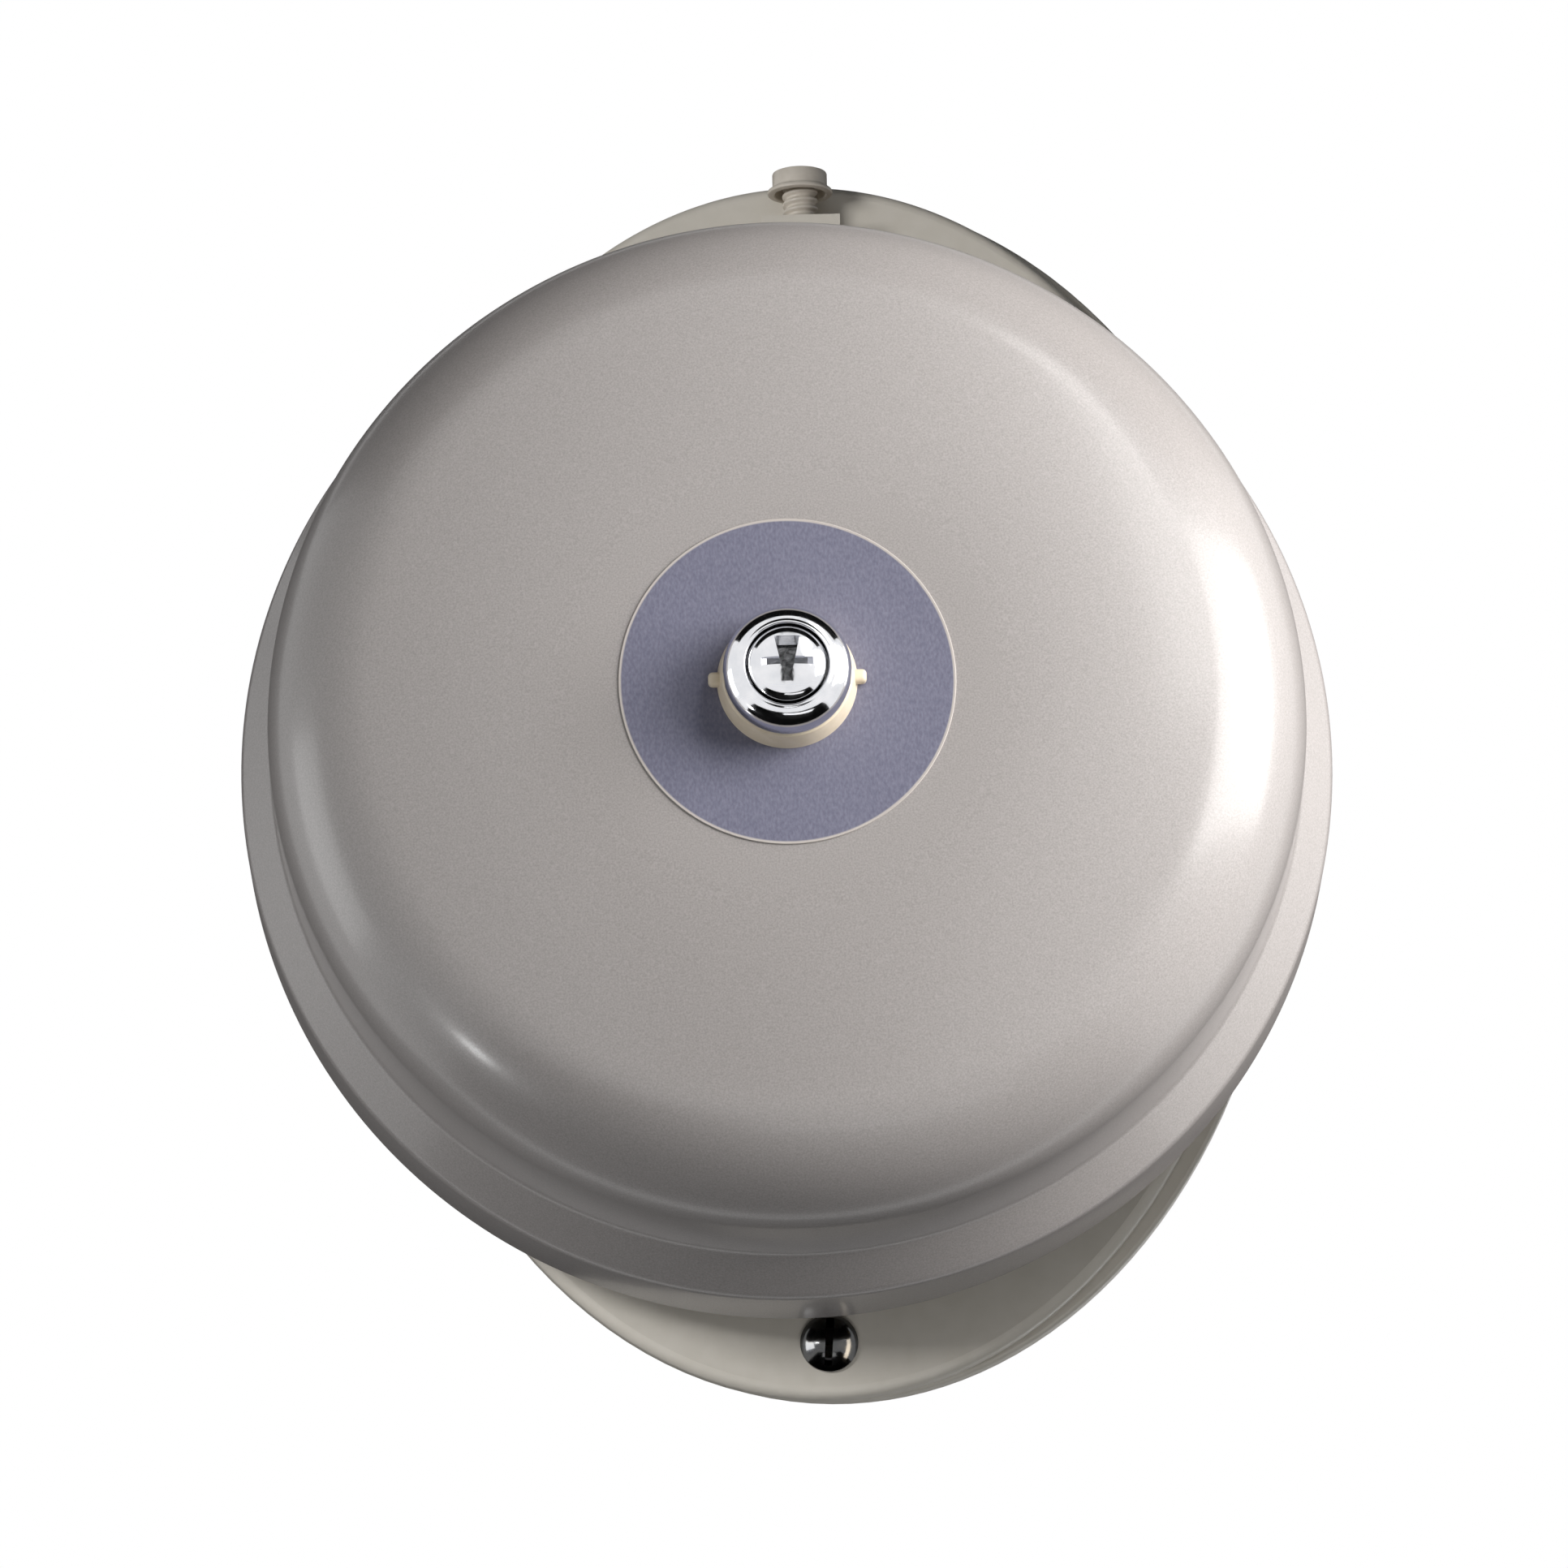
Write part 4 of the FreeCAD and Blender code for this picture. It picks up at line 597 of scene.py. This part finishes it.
# %% One recipe for most finishes
def link(tree, start, end):
    tree.links.new(start, end)


def new_material(name):
    """An empty material: its name, its node tree and its shader."""
    material = bpy.data.materials.new(name)
    material.use_nodes = True
    return material, material.node_tree, material.node_tree.nodes["Principled BSDF"]


def raise_surface(graph, height, distance):
    """Let a grey value raise the surface by a distance in millimetres."""
    bump = graph.nodes.new("ShaderNodeBump")
    bump.inputs["Distance"].default_value = distance * MM
    link(graph, height, bump.inputs["Height"])
    link(graph, bump.outputs["Normal"], graph.nodes["Principled BSDF"].inputs["Normal"])


def two_tones(graph, value, dark, light, low=0.0, high=1.0):
    """A colour that goes from dark to light between two grey values."""
    ramp = graph.nodes.new("ShaderNodeValToRGB")
    for stop, position, colour in zip(ramp.color_ramp.elements, (low, high), (dark, light)):
        stop.position = position
        stop.color = colour
    link(graph, value, ramp.inputs["Fac"])
    return ramp.outputs["Color"]


def make_finish(name, dark, light, patch, rough, rough_spread, grain, relief,
                stretch=(1, 1, 1), metal=0.0, coat=0.0, detail=3.0):
    """Two colours mixed in patches, a spread of roughness and a grain of a given height."""
    material, graph, shader = new_material(name)
    shader.inputs["Metallic"].default_value = metal
    shader.inputs["Coat Weight"].default_value = coat
    shader.inputs["Coat Roughness"].default_value = 0.16
    place = graph.nodes.new("ShaderNodeTexCoord")
    scale = graph.nodes.new("ShaderNodeMapping")
    scale.inputs["Scale"].default_value = stretch
    link(graph, place.outputs["Object"], scale.inputs["Vector"])

    def noise(size, layers):
        node = graph.nodes.new("ShaderNodeTexNoise")
        node.inputs["Scale"].default_value = 1 / (size * MM)
        node.inputs["Detail"].default_value = layers
        link(graph, scale.outputs["Vector"], node.inputs["Vector"])
        return node.outputs["Fac"]

    colour = two_tones(graph, noise(patch, 4.0), dark, light, 0.3, 0.7)
    link(graph, colour, shader.inputs["Base Color"])
    spread = graph.nodes.new("ShaderNodeMapRange")
    spread.inputs["From Min"].default_value = 0.3
    spread.inputs["From Max"].default_value = 0.7
    spread.inputs["To Min"].default_value = rough - rough_spread
    spread.inputs["To Max"].default_value = rough + rough_spread
    link(graph, noise(patch * 0.4, 2.0), spread.inputs["Value"])
    link(graph, spread.outputs["Result"], shader.inputs["Roughness"])
    raise_surface(graph, noise(grain, detail), relief)
    return material


print("recipe ready")

# %% [markdown]
# ## Paint, plastics and other soft materials
# The gong's powder coat is a fine hammered paint under a thin gloss, so it has the most
# relief and a coat.  Moulded plastics are nearly even in colour, with a faint bloom.  Sizes
# are in millimetres: patch is how wide a patch of colour is, grain how wide a bump is, and
# relief how high.

# %% Finishes that are not metal
RECIPES = {
    "gong_paint": dict(dark=tone(162, 157, 154), light=tone(184, 179, 177), patch=0.24,
                       rough=0.34, rough_spread=0.04, grain=0.6, relief=0.014,
                       coat=0.35, detail=2.0),
    "base_plastic": dict(dark=tone(216, 210, 198), light=tone(222, 216, 205), patch=3.0,
                         rough=0.42, rough_spread=0.05, grain=0.5, relief=0.006),
    "adjuster_plastic": dict(dark=tone(204, 196, 184), light=tone(214, 206, 194), patch=1.5,
                             rough=0.4, rough_spread=0.05, grain=0.35, relief=0.006),
    "bush_plastic": dict(dark=tone(232, 217, 190), light=tone(240, 226, 202), patch=1.5,
                         rough=0.38, rough_spread=0.05, grain=0.4, relief=0.006),
    "coil_plastic": dict(dark=tone(214, 208, 190), light=tone(226, 221, 206), patch=2.0,
                         rough=0.4, rough_spread=0.06, grain=0.4, relief=0.006),
    "dark_phenolic": dict(dark=(0.014, 0.009, 0.006, 1), light=(0.035, 0.022, 0.014, 1),
                          patch=0.9, rough=0.36, rough_spread=0.08, grain=0.25,
                          relief=0.008, detail=5.0),
    "capacitor_case": dict(dark=tone(158, 58, 26), light=tone(182, 74, 36), patch=2.5,
                           rough=0.24, rough_spread=0.06, grain=1.2, relief=0.02, coat=0.4),
    "black_rubber": dict(dark=(0.012, 0.012, 0.012, 1), light=(0.022, 0.022, 0.022, 1),
                         patch=1.5, rough=0.62, rough_spread=0.08, grain=0.3, relief=0.012),
    "felt": dict(dark=tone(150, 136, 112), light=tone(186, 172, 146), patch=0.5,
                 rough=0.92, rough_spread=0.04, grain=0.12, relief=0.06,
                 stretch=(1, 3, 1), detail=6.0),
}
finishes = {name: make_finish(name, **recipe) for name, recipe in RECIPES.items()}
print(len(finishes), "soft finishes made")

# %% [markdown]
# ## Metals
# Metal gets its colour from what it reflects, so its two tones stay close together and
# its roughness tells one kind from another.  Rolled and drawn parts are stretched along
# the way they were worked, which draws the grain out into fine lines.

# %% Finishes that are metal
METALS = {
    "bright_chrome": dict(dark=(0.74, 0.75, 0.78, 1), light=(0.84, 0.84, 0.86, 1), patch=2.0,
                          rough=0.1, rough_spread=0.03, grain=0.5, relief=0.002),
    # dark_nickel is darker than the cover screw's own dark plating: its base colour also stands
    # in for the dark room that the screw mirrors, so it is partly a painted dark reflection.
    "dark_nickel": dict(dark=(0.07, 0.072, 0.075, 1), light=(0.1, 0.099, 0.096, 1),
                        patch=1.5, rough=0.14, rough_spread=0.03, grain=0.5, relief=0.003),
    "zinc_steel": dict(dark=(0.40, 0.41, 0.42, 1), light=(0.58, 0.58, 0.57, 1), patch=4.0,
                       rough=0.34, rough_spread=0.08, grain=0.4, relief=0.004,
                       stretch=(1, 1, 6)),
    "soft_iron": dict(dark=(0.22, 0.22, 0.23, 1), light=(0.34, 0.33, 0.32, 1), patch=3.0,
                      rough=0.45, rough_spread=0.1, grain=0.3, relief=0.006,
                      stretch=(6, 1, 1)),
    "brass": dict(dark=(0.52, 0.36, 0.13, 1), light=(0.68, 0.50, 0.22, 1), patch=3.0,
                  rough=0.28, rough_spread=0.08, grain=0.4, relief=0.003,
                  stretch=(1, 1, 5)),
    "silver": dict(dark=(0.70, 0.69, 0.66, 1), light=(0.84, 0.83, 0.80, 1), patch=0.8,
                   rough=0.25, rough_spread=0.06, grain=0.2, relief=0.002),
}
for name, recipe in METALS.items():
    finishes[name] = make_finish(name, metal=1.0, **recipe)
print(len(METALS), "metal finishes made")

# %% [markdown]
# ## The label's card
# The label is printed card with a faint upright weave, and its cut edge is pale.  The
# weave is a noise that is stretched upright.  The edge is found by measuring how far a
# point is from the gong's axis, so it stays round whatever the mesh is like.

# %% Label card
CARD_EDGE = (LABEL_RADIUS - 0.45, LABEL_RADIUS - 0.25)


def from_axis(graph, place):
    """Distance from the gong's axis, in metres."""
    flat = graph.nodes.new("ShaderNodeVectorMath")
    flat.operation = "SUBTRACT"
    flat.inputs[1].default_value = (gong_x * MM, 0, gong_z * MM)
    link(graph, place, flat.inputs[0])
    across = graph.nodes.new("ShaderNodeVectorMath")
    across.operation = "MULTIPLY"
    across.inputs[1].default_value = (1, 0, 1)
    link(graph, flat.outputs["Vector"], across.inputs[0])
    length = graph.nodes.new("ShaderNodeVectorMath")
    length.operation = "LENGTH"
    link(graph, across.outputs["Vector"], length.inputs[0])
    return length.outputs["Value"]


def make_label_card():
    material, graph, shader = new_material("label_card")
    shader.inputs["Roughness"].default_value = 0.62
    shader.inputs["Specular IOR Level"].default_value = 0.35
    place = graph.nodes.new("ShaderNodeTexCoord")
    threads = graph.nodes.new("ShaderNodeMapping")
    threads.inputs["Scale"].default_value = (1.0, 1.0, 0.55)
    link(graph, place.outputs["Object"], threads.inputs["Vector"])
    weave = graph.nodes.new("ShaderNodeTexNoise")
    weave.inputs["Scale"].default_value = 1 / (0.36 * MM)
    weave.inputs["Detail"].default_value = 4.0
    link(graph, threads.outputs["Vector"], weave.inputs["Vector"])
    ink = two_tones(graph, weave.outputs["Fac"], tone(114, 114, 134), tone(134, 135, 154),
                    0.32, 0.72)
    edge = graph.nodes.new("ShaderNodeMapRange")
    edge.inputs["From Min"].default_value = CARD_EDGE[0] * MM
    edge.inputs["From Max"].default_value = CARD_EDGE[1] * MM
    link(graph, from_axis(graph, place.outputs["Object"]), edge.inputs["Value"])
    cut = graph.nodes.new("ShaderNodeMix")
    cut.data_type = "RGBA"
    cut.inputs["B"].default_value = tone(205, 198, 192)
    link(graph, edge.outputs["Result"], cut.inputs["Factor"])
    link(graph, ink, cut.inputs["A"])
    link(graph, cut.outputs["Result"], shader.inputs["Base Color"])
    raise_surface(graph, weave.outputs["Fac"], 0.02)
    return material


finishes["label_card"] = make_label_card()
print("label card made")

# %% [markdown]
# ## Copper wire
# The coils are wound with enamelled copper wire.  Each turn would be too fine to model,
# so the finish has a rounded ridge for every turn, across the coil's own axis, and the
# enamel is a gloss coat over the metal.

# %% Copper wire
WIRE = 0.42


def make_copper_wire():
    material, graph, shader = new_material("copper_wire")
    shader.inputs["Metallic"].default_value = 1.0
    shader.inputs["Coat Weight"].default_value = 0.6
    shader.inputs["Coat Roughness"].default_value = 0.12
    shader.inputs["Roughness"].default_value = 0.3
    place = graph.nodes.new("ShaderNodeTexCoord")
    wound = graph.nodes.new("ShaderNodeTexWave")
    wound.bands_direction = "Z"
    wound.inputs["Scale"].default_value = 2 * math.pi / (20 * WIRE * MM)
    wound.inputs["Distortion"].default_value = 0.4
    wound.inputs["Detail Scale"].default_value = 0.3
    link(graph, place.outputs["Object"], wound.inputs["Vector"])
    # Painted shade: the colour goes dark in the groove between two turns and light on each ridge,
    # in step with the bump.
    colour = two_tones(graph, wound.outputs["Fac"], (0.16, 0.045, 0.015, 1),
                       (0.62, 0.24, 0.09, 1))
    link(graph, colour, shader.inputs["Base Color"])
    raise_surface(graph, wound.outputs["Fac"], 0.15)
    return material


finishes["copper_wire"] = make_copper_wire()
print("copper wire made")

# %% [markdown]
# ## Finishes onto the parts
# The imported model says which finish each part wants.  A part from the model keeps its
# mesh and only has its material slots filled, and each new piece takes the finish of the
# part that it stands for.

# %% Give every part its finish
slot_of = {part["node"]: part["material_slot"] for part in frame["record"]["subparts"]}


def put_on(item, material):
    if item.material_slots:
        for entry in item.material_slots:
            entry.material = material
    else:
        item.data.materials.append(material)


for node, item in nodes.items():
    put_on(item, finishes[slot_of[node]])
for piece_name, (_, _, slot) in STANDS_FOR.items():
    put_on(bpy.data.objects[piece_name], finishes[slot])
print("finishes on", len(nodes) + len(STANDS_FOR), "objects")

# %% [markdown]
# ## A white room
# The room is white where it is seen, directly, in metal or through glass, and nearly dark
# where it lights the part, so the lamps do the shaping.  The Light Path node tells these
# rays apart: a strength of 1 is plain white on the picture.

# %% White room
ROOM_GLOW = 0.09
ROOM_TINT = (0.93, 0.96, 1, 1)


def seen_directly(tree):
    """1 for rays from the camera, from a mirror or through glass, and 0 for lighting rays."""
    path = tree.nodes.new("ShaderNodeLightPath")
    seen = path.outputs["Is Camera Ray"]
    for ray in ("Is Glossy Ray", "Is Transmission Ray"):
        either = tree.nodes.new("ShaderNodeMath")
        either.operation = "MAXIMUM"
        link(tree, seen, either.inputs[0])
        link(tree, path.outputs[ray], either.inputs[1])
        seen = either.outputs["Value"]
    return seen


def room_light(tree, colour, strength):
    node = tree.nodes.new("ShaderNodeBackground")
    node.inputs["Color"].default_value = colour
    node.inputs["Strength"].default_value = strength
    return node.outputs["Background"]


world = bpy.data.worlds.new("room")
bpy.context.scene.world = world
world.use_nodes = True
room = world.node_tree
room.nodes.clear()
choice = room.nodes.new("ShaderNodeMixShader")
out = room.nodes.new("ShaderNodeOutputWorld")
link(room, seen_directly(room), choice.inputs["Fac"])
link(room, room_light(room, ROOM_TINT, ROOM_GLOW), choice.inputs[1])
link(room, room_light(room, (1, 1, 1, 1), 1.0), choice.inputs[2])
link(room, choice.outputs["Shader"], out.inputs["Surface"])
print("room ready")

# %% [markdown]
# ## A white floor
# The bell hangs on a wall, so the floor lies well below it.  Its paint is pale and matt,
# and the same Light Path trick lifts it to white where it is seen.  The lift stays a
# little under full white, so that a shadow on the floor can still be told.

# %% White floor
FLOOR_HEIGHT = -1.7
FLOOR_LIFT = 0.92

clear_selection()
bpy.ops.mesh.primitive_plane_add(size=8, location=(0, -1.0, FLOOR_HEIGHT))
floor = bpy.context.object
floor.name = "floor"
floor_paint, paint, paint_shader = new_material("floor_paint")
paint_shader.inputs["Base Color"].default_value = (0.9, 0.9, 0.9, 1)
paint_shader.inputs["Roughness"].default_value = 0.9
paint_shader.inputs["Specular IOR Level"].default_value = 0.0
paint_shader.inputs["Emission Color"].default_value = (1, 1, 1, 1)
lift = paint.nodes.new("ShaderNodeMath")
lift.operation = "MULTIPLY"
lift.inputs[1].default_value = FLOOR_LIFT
link(paint, seen_directly(paint), lift.inputs[0])
link(paint, lift.outputs["Value"], paint_shader.inputs["Emission Strength"])
floor.data.materials.append(floor_paint)
print("floor at", FLOOR_HEIGHT)

# %% [markdown]
# ## Dark cards
# Bright metal in a white room is all white, and would lose its shape.  A studio puts up
# black cards, which the metal shows as dark bands.  These cards are seen by mirrors only:
# they cast no shadow and the camera looks through them.

# %% Dark cards
UPRIGHT = (math.pi / 2, 0, 0)
LEVEL = (0, 0, 0)

card_black, _, black_shader = new_material("card_black")
black_shader.inputs["Base Color"].default_value = (0.01, 0.01, 0.01, 1)
black_shader.inputs["Specular IOR Level"].default_value = 0.0


def dark_card(name, spot, turn, width, height):
    """A black card that only mirrors see."""
    clear_selection()
    bpy.ops.mesh.primitive_plane_add(size=1, location=spot, rotation=turn)
    card = bpy.context.object
    card.name = name
    card.scale = (width, height, 1)
    card.data.materials.append(card_black)
    card.visible_camera = False
    card.visible_diffuse = False
    card.visible_transmission = False
    card.visible_shadow = False


dark_card("card_front", (0.0, -1.7, 0.05), UPRIGHT, 0.5, 0.9)
dark_card("card_above", (0.0, 0.11, 0.7), LEVEL, 1.6, 1.2)
dark_card("card_below", (0.0, -0.3, -0.6), LEVEL, 1.6, 1.4)
dark_card("card_behind", (0.0, 0.9, -0.05), UPRIGHT, 2.4, 1.6)
print("four cards up")

# %% [markdown]
# ## Lamps
# The bell is lit as in a small studio.  A tall soft window on the right, weaker lamps on
# the left and a fill lamp below shape the gong, and light only the gong and what stands
# on it.  The pale base behind it has three lamps of its own, from the left, from below
# and from behind, and the dark screw in it has two for its glints.  Light linking ties a
# lamp to its pieces: a group of receivers is either included or left out.

# %% Lamps
LIGHT_AIM = Vector((-0.004, -0.056, -0.003))
GONG_ONLY = dict(only=("gong_shell", "label_sheet", "bush_body", "chrome_cup", "dome_screw"))
NOT_GONG = dict(spare=GONG_ONLY["only"])
SCREW_ONLY = dict(only=("foot_screw",))
WARM = (1.0, 0.98, 0.965)
AMBER = (1.0, 0.86, 0.68)


def soft_lamp(name, spot, width, height, power, only=(), spare=(), colour=(1, 1, 1)):
    """A soft rectangular lamp, kept to some pieces or kept off some."""
    light = bpy.data.lights.new(name, "AREA")
    light.shape = "RECTANGLE"
    light.size = width
    light.size_y = height
    light.energy = power
    light.color = colour
    lamp = bpy.data.objects.new(name, light)
    bpy.context.scene.collection.objects.link(lamp)
    lamp.location = spot
    lamp.rotation_euler = (LIGHT_AIM - Vector(spot)).to_track_quat("-Z", "Y").to_euler()
    group = bpy.data.collections.new(name + "_lights")
    for piece_name in only or spare:
        group.objects.link(bpy.data.objects[piece_name])
    for member in group.collection_objects:
        member.light_linking.link_state = "INCLUDE" if only else "EXCLUDE"
    lamp.light_linking.receiver_collection = group


# name, place, width, height and power in watts
soft_lamp("side_window", (0.64, -0.35, 0.17), 0.7, 0.45, 9.6, **GONG_ONLY, colour=WARM)
soft_lamp("front_right", (0.342, -0.656, 0.397), 0.14, 0.5, 1.6, **GONG_ONLY, colour=WARM)
soft_lamp("left_edge", (-0.801, -0.056, -0.04), 0.4, 0.4, 1.3, **GONG_ONLY)
soft_lamp("low_left", (-0.42, -0.22, -0.34), 0.05, 0.05, 0.25, **GONG_ONLY)
soft_lamp("under_fill", (0.15, -0.62, -0.62), 0.5, 0.3, 0.6, **GONG_ONLY)
soft_lamp("left_front", (-0.51, -0.662, 0.08), 0.2, 0.2, 3.4, **NOT_GONG)
soft_lamp("from_below", (-0.004, -0.570, -0.616), 0.6, 0.4, 1.3, **NOT_GONG)
soft_lamp("behind", (0.45, 0.9, -0.1), 0.8, 0.8, 5.0, **NOT_GONG)
soft_lamp("screw_left", (-0.72, -0.37, -0.04), 0.45, 0.35, 4.0, **SCREW_ONLY)
soft_lamp("screw_right", (0.72, -0.36, -0.15), 0.2, 0.9, 4.5, **SCREW_ONLY, colour=AMBER)
print(len(bpy.data.lights), "lamps lit")

# %% [markdown]
# ## Camera
# The camera stands far off with a long lens, so the bell is hardly drawn in perspective.
# It looks nearly square at the wall, from below, and leans a little.  The three angles
# give its axes one by one, which is easier to follow than one turned frame.

# %% Camera
TARGET = Vector((-0.004, -0.056, -0.002))
TURN = math.radians(0.46)
RISE = math.radians(15.46)
ROLL = math.radians(1.44)
DISTANCE = 1.5416
AIM_LOWER = 0.00762
AIM_LEFT = 0.00037
FOCAL_LENGTH = 259.79

look = Vector((math.sin(TURN) * math.cos(RISE), math.cos(TURN) * math.cos(RISE), math.sin(RISE)))
level = Vector((math.cos(TURN), -math.sin(TURN), 0))
upward = level.cross(look)
right = math.cos(ROLL) * level - math.sin(ROLL) * upward
above = math.sin(ROLL) * level + math.cos(ROLL) * upward
spot = TARGET - look * DISTANCE
back = (spot - (TARGET - above * AIM_LOWER - right * AIM_LEFT)).normalized()
right = (right - back * right.dot(back)).normalized()
above = back.cross(right)

view = bpy.data.cameras.new("camera")
view.sensor_width = 36
view.lens = FOCAL_LENGTH
view.clip_start = 0.05
camera = bpy.data.objects.new("camera", view)
bpy.context.scene.collection.objects.link(camera)
axes = Matrix((right, above, back)).transposed().to_4x4()
camera.matrix_world = Matrix.Translation(spot) @ axes
bpy.context.scene.camera = camera
bpy.context.scene.view_settings.view_transform = "Standard"
print("camera at", [round(value, 3) for value in spot])
